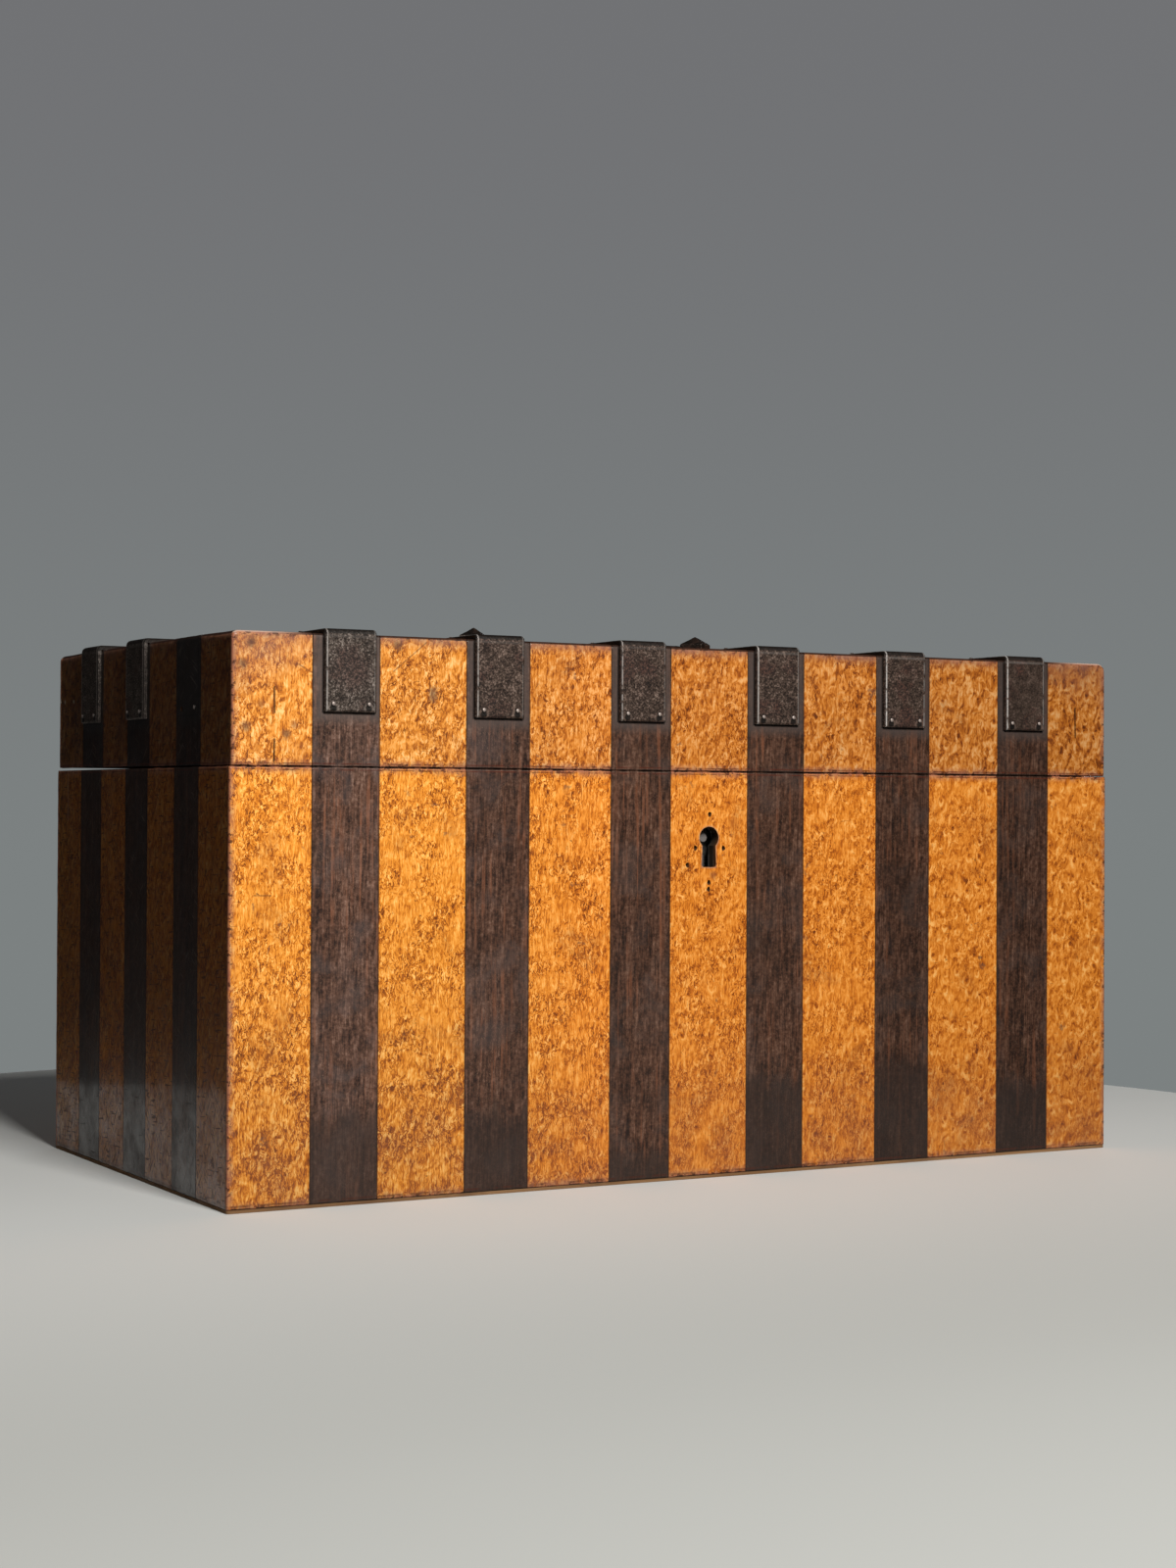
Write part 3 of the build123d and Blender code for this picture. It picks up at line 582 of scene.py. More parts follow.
def keyhole_rub(finish, place):
    """The pale rim round the keyhole: rubbed by keys, and a painted highlight on its edge."""
    x, y, z = finish.split(place)
    up = z - keyhole_z
    round_part = finish.vector("LENGTH", finish.join(x, 0.0, up)) - keyhole_radius
    beside = abs(x) - (keyhole_half_slot + 0.1 * mm)
    slot = finish.larger(beside, up, keyhole_foot_z - z)
    inside_box = y > -box_half_depth + 2 * mm
    away = finish.smaller(round_part, slot) + inside_box
    rubbed = finish.ramp(away, 0.55 * mm, 0.15 * mm) * finish.noise(place, 500.0, 3.0, 0.6)
    finish.tint(rubbed, (0.42, 0.27, 0.19))


def maple_finish():
    """Bird's eye maple, gone amber under old polish."""
    finish = Finish("maple veneer", coat_roughness=0.11, coat_ior=1.45, specular_ior_level=0.2)
    figure = finish.attribute("figure", "Vector")
    tone = finish.attribute("tone")
    rim, joint = finish.distance("near_rim"), finish.distance("near_joint")
    place = finish.place()
    curly = finish.attribute("curly")
    eyes = finish.effect("eyes", figure=figure, spacing=0.0045, share=curly * 0.42 + 0.16)
    bent = eyes.bent
    patch = finish.noise(finish.scaled(figure, 110.0), 1.0, 3.0, 0.6)
    clouds = finish.ramp(patch, 0.36, 0.62)
    wander = (clouds * 0.8 + 0.35) * 0.0008
    streak = {"streak_width": 0.00042, "streak_length": 0.0036, "wander": wander, "wander_size": 0.0019}
    grain = finish.effect("grain", figure=bent, band_width=0.0035, band_length=0.035, **streak)
    small = finish.effect("curl", figure=bent, width=0.00105, length=0.0021, bend=1.7)
    large = finish.effect("curl", figure=bent, width=0.0024, length=0.0040, bend=1.3)
    age = finish.effect("age", place=place, stain_size=0.016, speck_size=0.0011)
    smudges = finish.effect("age", place=place, stain_size=0.05, speck_size=0.0045).specks
    polished = finish.attribute("polish")
    amount = polished * 0.65 + 0.10
    width = polished * 0.0003 - 0.0001
    marks = finish.effect("scratches", figure=figure, length=0.005, width=width, amount=amount)
    across, height, _ = finish.split(figure)
    low = finish.ramp(height, 0.055, 0.015) * finish.ramp(across, -0.03, -0.08)
    on_lid = height > rim_height
    fine = curly * -0.58 + 1.12 + low * 0.25
    curled = (clouds * 0.75 + 0.12) * fine
    streaks = (grain.streaks - 0.5) * fine
    weight = curly * 0.12 + 0.12 + finish.larger(low * 0.15, on_lid * 0.14)
    value = added(
        0.415,
        (streaks, 0.85),
        (grain.bands, 0.16),
        (small.ridge * curled, -0.32),
        (small.relief * curled, 0.30),
        (large.relief, weight),
        (large.wave, 0.12),
        (eyes.relief, curly * 0.07 + 0.09),
    )
    finish.colour = finish.colours(
        value,
        [
            (0.18, (0.150, 0.038, 0.006)),
            (0.34, (0.380, 0.102, 0.009)),
            (0.47, (0.610, 0.198, 0.016)),
            (0.60, (0.820, 0.325, 0.045)),
            (0.80, (0.970, 0.540, 0.155)),
        ],
    )
    stained = age.stains * (small.wave * 1.3 - 0.25)
    finish.tint(finish.math("MULTIPLY", stained, 0.8, clamp=True), (0.21, 0.070, 0.020))
    finish.tint(smudges * 0.55, (0.105, 0.066, 0.046))
    reach = finish.ramp(abs(across), 0.112, 0.136) * 0.012 + 0.004
    below = abs(height - lid_top) / reach
    grimy = finish.math("MULTIPLY", finish.ramp(below, 1.1, 0.1), patch * 2.0 - 0.35, clamp=True)
    finish.tint(grimy * 0.75, (0.250, 0.115, 0.062))
    foot = finish.math("MULTIPLY", finish.ramp(height, 0.05, 0.0), patch * 1.5 - 0.35, clamp=True)
    finish.tint(foot * 0.85, (0.25, 0.085, 0.040))
    # Painted sheen: the maple redder towards the right, paler and less red towards the left.
    redder = finish.mix(finish.ramp(across, -0.085, -0.03), (1, 1, 1), (0.98, 0.88, 0.84))
    finish.tint(1.0, redder, "MULTIPLY")
    finish.tint(on_lid, (1.0, 1.03, 1.35), "MULTIPLY")
    # Painted shade: the left part darker towards the foot, on top of the painted shade in the strip's tone.
    left_hand = finish.ramp(across, -0.015, -0.115, 0.04, 0.22)
    painted_low_shade = finish.ramp(height, 0.105, 0.0) * left_hand
    finish.tone(tone * (1.05 - painted_low_shade))
    painted_floor_light(finish, height)
    finish.tint(age.specks * 0.7, (0.075, 0.026, 0.010))
    finish.tint(marks.deep * 0.8, (0.045, 0.016, 0.008))
    handled = finish.ramp(rim, 2.6 * mm, 0.3 * mm) * finish.ramp(large.wave, 0.30, 0.60)
    finish.tint(handled * 0.60, (0.400, 0.190, 0.125))
    worn = finish.effect("wear", distance=rim, width=0.0006, ragged=1.2, place=place).worn
    finish.tint(worn * 0.7, (0.38, 0.140, 0.085))
    nicks = finish.noise(finish.vector("MULTIPLY", place, (1, 1, 1.5)), 560.0, 3.0, 0.7)
    nicks = finish.ramp(nicks, 0.55, 0.61) * finish.ramp(rim, 1.8 * mm, 0.4 * mm)
    finish.tint(nicks * 0.85, (0.060, 0.018, 0.010))
    gap = finish.effect("wear", distance=joint, width=0.00024, ragged=0.5, place=place).worn
    finish.tint(gap * 0.8, (0.035, 0.014, 0.008))
    edge_lines(finish, place, across, (0.50, 0.190, 0.085))
    old_marks(finish, place)
    keyhole_rub(finish, place)
    roughness = finish.ramp(age.smears, 0.3, 0.7, 0.40, 0.58)
    relief = added(0.0, (grain.streaks, 0.4), (small.wave, 0.3), (eyes.core, 0.3), (marks.deep, -0.6))
    return finish.surface(roughness, None, relief, 0.045 * mm, polish(finish, age, marks, 0.26, 0.12))


def clip_marks(finish, figure):
    """Where a clip sits on the wood: the grey halo round it, and the dark line along its edge."""
    across, along, _ = finish.split(figure)
    first = across < first_clip_right
    beside = abs(first * -first_clip_slide + finish.attribute("inner")) - clip_width / 2
    foot = first * first_clip_short + (lid_top + clip_thickness - clip_reach)
    behind = along - lid_top - (clip_reach - clip_thickness)
    ahead = lid_top + 2 * box_half_depth - clip_reach + clip_thickness - along
    away = finish.larger(beside, foot - along, finish.smaller(behind, ahead, along - lid_top))
    clipped = finish.attribute("clipped")
    return finish.ramp(away, 0.0045, 0.0002) * clipped, band(finish, away, 0.1 * mm, 0.4 * mm) * clipped


def rosewood_finish():
    """Rosewood veneer: dark, with reddish streaks, short pale dashes and dull grey patches."""
    finish = Finish("rosewood veneer", coat_roughness=0.11, coat_ior=1.45, specular_ior_level=0.18)
    figure = finish.attribute("figure", "Vector")
    tone = finish.attribute("tone")
    joint = finish.distance("near_joint")
    place = finish.place()
    across, height, seed = finish.split(figure)
    streak = {"streak_width": 0.0004, "streak_length": 0.0045}
    grain = finish.effect("grain", figure=figure, band_width=0.003, band_length=0.035, **streak)
    streak = {"streak_width": 0.0011, "streak_length": 0.045}
    wide = finish.effect("grain", figure=figure, band_width=0.008, band_length=0.03, **streak)
    curl = finish.effect("curl", figure=figure, width=0.0016, length=0.008, bend=0.6)
    age = finish.effect("age", place=place, stain_size=0.02, speck_size=0.0045)
    polished = finish.attribute("polish")
    amount = polished * 0.60 - 0.25
    width = polished * 0.00026 - 0.0001
    marks = finish.effect("scratches", figure=figure, length=0.008, width=width, amount=amount)
    value = added(
        -0.445,
        (grain.streaks, 0.56),
        (wide.streaks, 0.30),
        (grain.bands, 0.34),
        (curl.relief, 0.16),
        (finish.noise(place, 1100.0, 3.0, 0.65), 0.68),
    )
    finish.colour = finish.colours(
        value,
        [
            (0.26, (0.012, 0.006, 0.005)),
            (0.40, (0.034, 0.016, 0.010)),
            (0.52, (0.068, 0.031, 0.019)),
            (0.64, (0.112, 0.057, 0.037)),
            (0.80, (0.200, 0.114, 0.078)),
        ],
    )
    reddish = finish.ramp(wide.streaks, 0.52, 0.64) * finish.ramp(wide.bands, 0.38, 0.56)
    reddish = reddish * finish.ramp(curl.wave, 0.30, 0.60)
    finish.tint(reddish * 0.60, (0.190, 0.068, 0.032))
    grey = finish.ramp(finish.noise(finish.scaled(figure, 75.0), 1.0, 4.0, 0.6, 0.5), 0.46, 0.68)
    finish.tint(grey * 0.45, (0.066, 0.047, 0.041))
    finish.tint(age.stains * 0.4, (0.020, 0.013, 0.010))
    dashes = grain.pores * finish.ramp(wide.bands, 0.42, 0.6, 0.25, 0.8)
    finish.tint(dashes, (0.210, 0.120, 0.075))
    # Painted sheen: the rosewood paler and greyer towards the left, most on the lid.
    painted_sheen = finish.ramp(across, -0.03, -0.10) * finish.ramp(height, 0.110, 0.118, 0.5, 1.0)
    finish.tint(painted_sheen, (1.08, 1.24, 1.42), "MULTIPLY")
    halo, line = clip_marks(finish, figure)
    finish.tint(halo * 0.75, (0.074, 0.058, 0.052))
    reach = finish.math("FRACT", seed * 3.7) * 0.034
    reach = reach + (grain.bands - 0.5) * 0.02
    foot = finish.ramp(height - reach, 0.004, -0.002)
    finish.tint(foot * 0.72, (0.026, 0.017, 0.014))
    # The strip's tone holds the painted shade of strip_tone.
    finish.tone(tone)
    painted_floor_light(finish, height)
    finish.tint(line * 0.85, (0.010, 0.008, 0.007))
    finish.tint(marks.light * 0.35, (0.30, 0.24, 0.20))
    finish.tint(marks.deep * 0.5, (0.012, 0.008, 0.006))
    gap = finish.effect("wear", distance=joint, width=0.00024, ragged=0.5, place=place).worn
    finish.tint(gap * 0.75, (0.014, 0.009, 0.007))
    edge_lines(finish, place, across, (0.26, 0.130, 0.090))
    roughness = finish.ramp(age.smears, 0.3, 0.7, 0.38, 0.55)
    relief = added(0.0, (grain.streaks, 0.6), (dashes, -0.5), (marks.deep, -0.5))
    return finish.surface(roughness, None, relief, 0.10 * mm, polish(finish, age, marks, 0.26, 0.08))


def raw_edge_finish():
    """Bare wood where a hole cuts through the veneer, dark with handling."""
    finish = Finish("bare edges", specular_ior_level=0.15)
    place = finish.place()
    age = finish.effect("age", place=place, stain_size=0.004, speck_size=0.0012)
    finish.colour = finish.mix(age.smears, (0.018, 0.009, 0.005), (0.16, 0.065, 0.025))
    finish.tint(age.specks, (0.008, 0.005, 0.004))
    return finish.surface(finish.ramp(age.smears, 0.3, 0.7, 0.7, 0.9), None, age.smears, 0.1 * mm)


def carcass_finish():
    """The plain softwood under the veneer, with its grain along the long way of the box."""
    finish = Finish("carcass wood", specular_ior_level=0.3)
    place = finish.place()
    x, y, z = finish.split(place)
    figure = finish.join(y + z, x, 0.3)
    grain = finish.effect(
        "grain", figure=figure, streak_width=0.0009, streak_length=0.05, band_width=0.007, band_length=0.2
    )
    age = finish.effect("age", place=place, stain_size=0.03, speck_size=0.006)
    value = grain.bands * 0.55 + grain.streaks * 0.45
    finish.colour = finish.colours(
        value, [(0.32, (0.16, 0.075, 0.030)), (0.5, (0.30, 0.16, 0.070)), (0.66, (0.44, 0.26, 0.13))]
    )
    finish.tint(age.stains * 0.6, (0.11, 0.055, 0.026))
    finish.tint(age.specks * 0.5, (0.04, 0.022, 0.012))
    # Painted shade: the carcass wood darker round the keyhole, inside it.
    from_keyhole = finish.vector("DISTANCE", place, (0, -box_half_depth, keyhole_z - 3 * mm))
    finish.tint(finish.ramp(from_keyhole, 0.016, 0.009) * 0.9, (0.012, 0.009, 0.007))
    roughness = finish.ramp(age.smears, 0.3, 0.7, 0.6, 0.8)
    return finish.surface(roughness, None, grain.streaks, 0.15 * mm)


def iron_finish():
    """Wrought iron, dark and mottled, with brown patches and rubbed edges."""
    finish = Finish("old iron", specular_ior_level=0.4)
    place = finish.place()
    rim = finish.distance("near_rim")
    tarnish = finish.effect("tarnish", place=place, patch_size=0.0035)
    wear = finish.effect("wear", distance=rim, width=0.0007, ragged=0.9, place=place)
    finish.colour = finish.colours(
        tarnish.mottle,
        [(0.3, (0.012, 0.009, 0.008)), (0.5, (0.034, 0.026, 0.021)), (0.7, (0.080, 0.064, 0.054))],
    )
    rust = tarnish.patches * 0.6
    finish.tint(rust, (0.045, 0.020, 0.012))
    finish.tint(tarnish.pits, (0.008, 0.006, 0.005))
    finish.tint(wear.worn * 0.6, (0.17, 0.145, 0.125))
    metallic = finish.math("SUBTRACT", 0.85, rust * 0.9, clamp=True)
    roughness = finish.ramp(tarnish.mottle, 0.3, 0.7, 0.62, 0.40)
    relief = tarnish.mottle * 0.6 - tarnish.pits
    return finish.surface(roughness, metallic, relief, 0.12 * mm)


def clip_iron_finish():
    """The clips' iron: speckled, with rust in patches, dark borders and a dark bend, both patina and painted
    shade, and a bright arris, rubbed and also a painted highlight.
    """
    finish = Finish("clip iron", specular_ior_level=0.4)
    place = finish.place()
    rim = finish.distance("near_rim")
    tarnish = finish.effect("tarnish", place=place, patch_size=0.0045)
    across, along, _ = finish.split(finish.attribute("spot", "Vector"))
    specks = finish.noise(place, 1900.0, 3.0, 0.75)
    grains = finish.noise(place, 520.0, 2.0, 0.6)
    smoother = (specks - 0.5) * finish.ramp(finish.split(place)[0], 0.05, 0.11)
    mottle = finish.noise(place, 260.0, 2.0, 0.6)
    value = added(
        -0.40, (specks, 1.25), (smoother, -0.6), (grains, 0.24), (tarnish.mottle, 0.14), (mottle, 0.20)
    )
    finish.colour = finish.colours(
        value,
        [
            (0.36, (0.014, 0.009, 0.007)),
            (0.48, (0.055, 0.040, 0.031)),
            (0.60, (0.130, 0.100, 0.082)),
            (0.76, (0.400, 0.340, 0.300)),
        ],
    )
    rust = finish.ramp(finish.noise(place, 95.0, 3.0, 0.6), 0.50, 0.64)
    blotch = finish.vector("DISTANCE", place, first_clip_rust)
    rust = finish.larger(rust, finish.ramp(blotch, 8.0 * mm, 2.0 * mm))
    reddish = finish.mix(finish.ramp(specks, 0.40, 0.66), (0.012, 0.006, 0.005), (0.120, 0.055, 0.038))
    finish.tint(rust * 0.75, reddish)
    pin = finish.distance("near_pin")
    finish.tint(band(finish, pin, 1.3 * mm, 0.3 * mm) * 0.40, (0.26, 0.22, 0.19))
    finish.tint(finish.ramp(pin, 1.0 * mm, 0.8 * mm) * 0.9, (0.006, 0.005, 0.004))
    brown = finish.ramp(finish.split(place)[0], -0.105, -0.07)
    finish.tint(brown * 0.9, (0.88, 0.74, 0.68), "MULTIPLY")
    # Dark borders: patina in the filed border, and painted shade that is heaviest on the right, where the
    # bevel turns from the light.
    border = finish.ramp(rim, clip_border, 0.7 * clip_border)
    border = border * finish.ramp(rim, 0.02 * mm, 0.10 * mm, 0.6, 1.0)
    right = finish.ramp(across, 0.0, 0.4 * clip_width)
    shade = right * 0.48 + 0.50
    finish.tint(border * shade, (0.010, 0.008, 0.007))
    # A dark bend over the lid's edge: patina, and painted shade where little light comes from above.
    bend = finish.ramp(along, -0.20 * mm, 0.25 * mm)
    finish.tint(bend * 0.85, (0.008, 0.006, 0.005))
    # The pale arris line inside the border, and a faint pale line below the bend: rubbed iron, and a painted
    # highlight, brighter on each clip's left and on the clips further right.
    arris = band(finish, rim, clip_border + 0.15 * mm, 0.30 * mm)
    arris = arris * finish.ramp(finish.noise(place, 420.0, 3.0, 0.6), 0.32, 0.50)
    arris = arris * (right * -0.55 + 0.85)
    sideways = finish.ramp(abs(across), 0.40 * clip_width, 0.46 * clip_width, 0.3, 1.0)
    arris = arris * sideways
    arris = finish.larger(arris, band(finish, along, -0.7 * mm, 0.5 * mm) * 0.10)
    rightwards = finish.ramp(finish.split(place)[0], -0.03, 0.08)
    finish.tint(arris, finish.mix(rightwards, (0.40, 0.365, 0.34), (0.75, 0.715, 0.68)))
    metallic = finish.math("SUBTRACT", 0.45, rust * 0.35, clamp=True)
    roughness = finish.ramp(specks, 0.3, 0.7, 0.66, 0.45)
    return finish.surface(roughness, metallic, value, 0.07 * mm)


def pin_iron_finish():
    """The pins' iron, darker than the clips and paler towards the top of each dome: rubbed shiny, and a
    painted highlight.
    """
    finish = Finish("pin iron", specular_ior_level=0.5)
    place = finish.place()
    tarnish = finish.effect("tarnish", place=place, patch_size=0.0018)
    # Paler towards the top of the dome: rubbed iron, and a painted highlight.
    rubbed = finish.ramp(finish.attribute("rise"), 0.45, 0.92)
    value = rubbed * (tarnish.mottle * 0.8 + 0.6)
    finish.colour = finish.colours(
        value, [(0.0, (0.008, 0.006, 0.005)), (0.5, (0.150, 0.120, 0.105)), (1.0, (0.50, 0.42, 0.38))]
    )
    roughness = finish.ramp(tarnish.mottle, 0.3, 0.7, 0.50, 0.32)
    return finish.surface(roughness, 0.35, tarnish.mottle, 0.04 * mm)


def brass_finish():
    """Hinge brass, dulled brown."""
    finish = Finish("dull brass")
    place = finish.place()
    tarnish = finish.effect("tarnish", place=place, patch_size=0.006)
    finish.colour = finish.colours(
        tarnish.mottle,
        [(0.3, (0.20, 0.120, 0.040)), (0.5, (0.38, 0.250, 0.095)), (0.7, (0.56, 0.400, 0.170))],
    )
    finish.tint(tarnish.patches * 0.65, (0.13, 0.075, 0.030))
    roughness = finish.ramp(tarnish.mottle, 0.3, 0.7, 0.55, 0.34)
    return finish.surface(roughness, 0.9, tarnish.mottle, 0.06 * mm)


def steel_finish():
    """Lock steel, grey with a light bloom of rust."""
    finish = Finish("lock steel")
    place = finish.place()
    tarnish = finish.effect("tarnish", place=place, patch_size=0.005)
    finish.colour = finish.colours(
        tarnish.mottle, [(0.3, (0.16, 0.150, 0.140)), (0.5, (0.30, 0.285, 0.27)), (0.7, (0.46, 0.450, 0.43))]
    )
    finish.tint(tarnish.patches * 0.5, (0.12, 0.060, 0.032))
    metallic = 0.95 - tarnish.patches * 0.5
    # Paler, less metallic patches on the drill pin's tip and on the plate below the slot, where the keyhole
    # shows them: painted highlights.
    tip = finish.vector("DISTANCE", place, (0, -box_half_depth + 3.3 * mm, keyhole_z))
    across, _, height = finish.split(finish.vector("SUBTRACT", place, (0.3 * mm, 0, keyhole_foot_z)))
    plate = finish.ramp(height, 3.4 * mm, 2.2 * mm) * finish.ramp(across, 3.4 * mm, 2.6 * mm)
    rubbed = finish.larger(finish.ramp(tip, 1.7 * mm, 1.5 * mm), plate)
    finish.tint(rubbed * 0.9, (0.185, 0.165, 0.155))
    metallic = metallic * (rubbed * -0.9 + 1.0)
    roughness = finish.ramp(tarnish.mottle, 0.3, 0.7, 0.5, 0.3)
    return finish.surface(roughness, metallic, tarnish.mottle, 0.05 * mm)


finishes = {
    "maple": maple_finish(),
    "rosewood": rosewood_finish(),
    "carcass_wood": carcass_finish(),
    "iron": iron_finish(),
    "clip_iron": clip_iron_finish(),
    "pin_iron": pin_iron_finish(),
    "brass": brass_finish(),
    "lock_steel": steel_finish(),
}
raw_edge = raw_edge_finish()


# Meshes from the CAD nodes


def merged_copy(node):
    """The node's mesh as a bmesh with its loose triangles joined."""
    mesh = bmesh.new()
    mesh.from_mesh(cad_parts[node].data)
    bmesh.ops.remove_doubles(mesh, verts=mesh.verts, dist=1e-6)
    return mesh


def loose_boxes(node):
    """The lowest and highest corner of each separate solid in a node."""
    mesh = merged_copy(node)
    unseen = set(mesh.verts)
    boxes = []
    while unseen:
        front = [unseen.pop()]
        found = list(front)
        while front:
            for edge in front.pop().link_edges:
                for vert in edge.verts:
                    if vert in unseen:
                        unseen.remove(vert)
                        found.append(vert)
                        front.append(vert)
        corners = np.array([vert.co for vert in found])
        boxes.append((Vector(corners.min(0)), Vector(corners.max(0))))
    mesh.free()
    return sorted(boxes, key=lambda pair: tuple(round(v, 6) for v in pair[0]))


def object_from(name, mesh, material=None):
    """A new object in the scene from a mesh or a bmesh."""
    if isinstance(mesh, bmesh.types.BMesh):
        data = bpy.data.meshes.new(name)
        mesh.to_mesh(data)
        mesh.free()
        mesh = data
    mesh.name = name
    made = bpy.data.objects.new(name, mesh)
    bpy.context.scene.collection.objects.link(made)
    if material:
        mesh.materials.clear()
        mesh.materials.append(material)
    return made


def finished_mesh(piece):
    """The piece with its modifiers applied, as a plain mesh; the modifiers are removed."""
    evaluated = piece.evaluated_get(bpy.context.evaluated_depsgraph_get())
    mesh = bpy.data.meshes.new_from_object(evaluated)
    piece.modifiers.clear()
    mesh.name = piece.name
    piece.data = mesh
    mesh.shade_smooth()
    mesh.set_sharp_from_angle(angle=crease_angle)
    return mesh


def point_cloud(name, places, **values):
    """A mesh of loose points, each with the named values."""
    mesh = bpy.data.meshes.new(name)
    mesh.from_pydata([tuple(place) for place in places], [], [])
    for label, column in values.items():
        vectors = hasattr(column[0], "__len__")
        attribute = mesh.attributes.new(label, triple if vectors else "FLOAT", "POINT")
        flat = np.array([tuple(v) for v in column] if vectors else column, np.float32).ravel()
        attribute.data.foreach_set("vector" if vectors else "value", flat)
    return mesh


def grow(name, points, tree, material, **inputs):
    """Runs a Geometry Nodes tree over a cloud of points and returns the finished piece."""
    piece = object_from(name, points)
    modifier = piece.modifiers.new(name, "NODES")
    modifier.node_group = tree
    sockets = {item.name: item.identifier for item in tree.interface.items_tree if item.in_out == "INPUT"}
    modifier[sockets["Material"]] = material
    for label, value in inputs.items():
        modifier[sockets[label_of(label)]] = value
    finished_mesh(piece)
    return piece


# Geometry Nodes: steps that several trees use


def stored(graph, geometry, name, value, kind="FLOAT"):
    feeds = {"Geometry": geometry, "Name": name, "Value": value}
    return graph.value("GeometryNodeStoreNamedAttribute", feeds, data_type=kind, domain="POINT")


def named(graph, name, kind="FLOAT"):
    return graph.value("GeometryNodeInputNamedAttribute", {"Name": name}, data_type=kind)


def placed(graph, points, piece, **feeds):
    """A copy of the piece on each point, turned as the point says."""
    turn = graph.value("FunctionNodeEulerToRotation", {0: named(graph, "turn", triple)})
    feeds = {"Points": points, "Instance": piece, "Rotation": turn, **feeds}
    return graph.value("GeometryNodeInstanceOnPoints", feeds)


def realized(graph, copies):
    return graph.value("GeometryNodeRealizeInstances", {0: copies})


def moved(graph, geometry, **where):
    """The geometry with its vertices at a new Position, or shifted by an Offset."""
    return graph.value("GeometryNodeSetPosition", {"Geometry": geometry, **where})


def pushed(graph, geometry, amount):
    """The geometry with its surface moved outwards by an amount."""
    return moved(graph, geometry, Offset=graph.scaled(graph.value("GeometryNodeInputNormal"), amount))


def dressed(graph, geometry, material):
    """The tree, once its geometry has the material."""
    feeds = {"Geometry": geometry, "Material": material}
    return closed(graph, geometry=graph.value("GeometryNodeSetMaterial", feeds))


# Geometry Nodes: the veneer strips


def strips_tree():
    """Veneer strips on points: each a sheet with rounded edges and a slightly uneven face."""
    graph, given = tree_with(
        shaping,
        "veneer strips",
        geometry=GEOMETRY,
        rows_across=24,
        rows_along=60,
        waviness=strip_waviness,
        step=strip_step,
        edge_wear=0.7,
        material=MATERIAL,
    )
    counts = {"Vertices X": given.rows_across, "Vertices Y": 2, "Vertices Z": given.rows_along}
    sheet = graph.value("GeometryNodeMeshCube", {"Size": (1, 1, 1), **counts}, "Mesh")
    position = graph.value("GeometryNodeInputPosition")
    x, y, z = graph.split(position)

    def gathered(value):
        """Moves the rows of vertices towards the edges."""
        return graph.math("SINE", value * pi) * 0.5

    sheet = moved(graph, sheet, Position=graph.join(gathered(x), y, gathered(z)))
    sheet = stored(graph, sheet, "local", position, triple)
    size = named(graph, "size", triple)
    strips = realized(graph, placed(graph, given.geometry, sheet, Scale=size))

    local_x, local_y, local_z = graph.split(named(graph, "local", triple))
    width, _, height = graph.split(size)
    seed = named(graph, "seed")
    chew = graph.noise(graph.vector("ADD", position, graph.join(seed)), 220.0, 3.0, 0.6)
    chew = graph.larger((chew - 0.42) * (given.edge_wear * 4.0) + 1.0, 0.5)
    left, right, _ = graph.split(named(graph, "side_radii", triple))
    foot, top, _ = graph.split(named(graph, "end_radii", triple))
    to_left, to_right = (local_x + 0.5) * width, (0.5 - local_x) * width
    to_foot, to_top = (local_z + 0.5) * height, (0.5 - local_z) * height

    def fallen(square):
        """How far a quarter round has fallen, as a share of its radius."""
        return 1.0 - graph.math("SQRT", graph.math("SUBTRACT", 1.0, square, clamp=True))

    squares = 0.0
    drops, radii, rims, joints = [], [], [], []
    for distance, radius in ((to_left, left), (to_right, right), (to_foot, foot), (to_top, top)):
        outer = radius > joint_round * 1.5
        reach = graph.smaller(radius * graph.larger(chew * outer, 1.0 - outer), largest_round)
        square = graph.math("SUBTRACT", 1.0, distance / reach, clamp=True) ** 2.0
        squares = squares + square
        drops.append(fallen(square) * reach)
        radii.append(reach * (square > 0.0))
        rims.append(distance + (1.0 - outer))
        joints.append(distance + outer)
    drop = graph.larger(*drops, fallen(squares) * graph.larger(*radii))
    swell = graph.noise(graph.vector("ADD", position, graph.join(seed, seed)), 55.0, 2.0, 0.5)
    drop = (drop + swell * given.waviness + named(graph, "sunk") * given.step) * (local_y < 0.0)

    foot_is_seam, head_is_seam, head_is_crown = graph.split(named(graph, "ends", triple))

    def near_end(*ends):
        """The closeness to the strip's ends, of those that are of this kind."""
        nearest = graph.smaller(*(distance + (1.0 - chosen) for distance, chosen in ends))
        return graph.larger(far - nearest, 0.0)

    across, along = local_x * width + named(graph, "across"), local_z * height + named(graph, "along")
    figure = graph.join(across, along, seed)
    strips = stored(graph, strips, "figure", figure, triple)
    for label, value in {
        "near_rim": far - graph.smaller(*rims),
        "near_joint": far - graph.smaller(*joints),
        "near_seam": near_end((to_foot, foot_is_seam), (to_top, head_is_seam)),
        "near_crown": near_end((to_top, head_is_crown)),
        "near_base": near_end((to_foot, head_is_seam)),
        "inner": local_x * width,
    }.items():
        strips = stored(graph, strips, label, value)
    outward = named(graph, "outward", triple)
    return dressed(graph, moved(graph, strips, Offset=graph.scaled(outward, drop * -1.0)), given.material)


face_turns = {
    "front": Euler((0, 0, 0)),
    "back": Euler((0, 0, pi)),
    "left": Euler((0, 0, -pi / 2)),
    "right": Euler((0, 0, pi / 2)),
    "top": Euler((-pi / 2, 0, 0)),
}


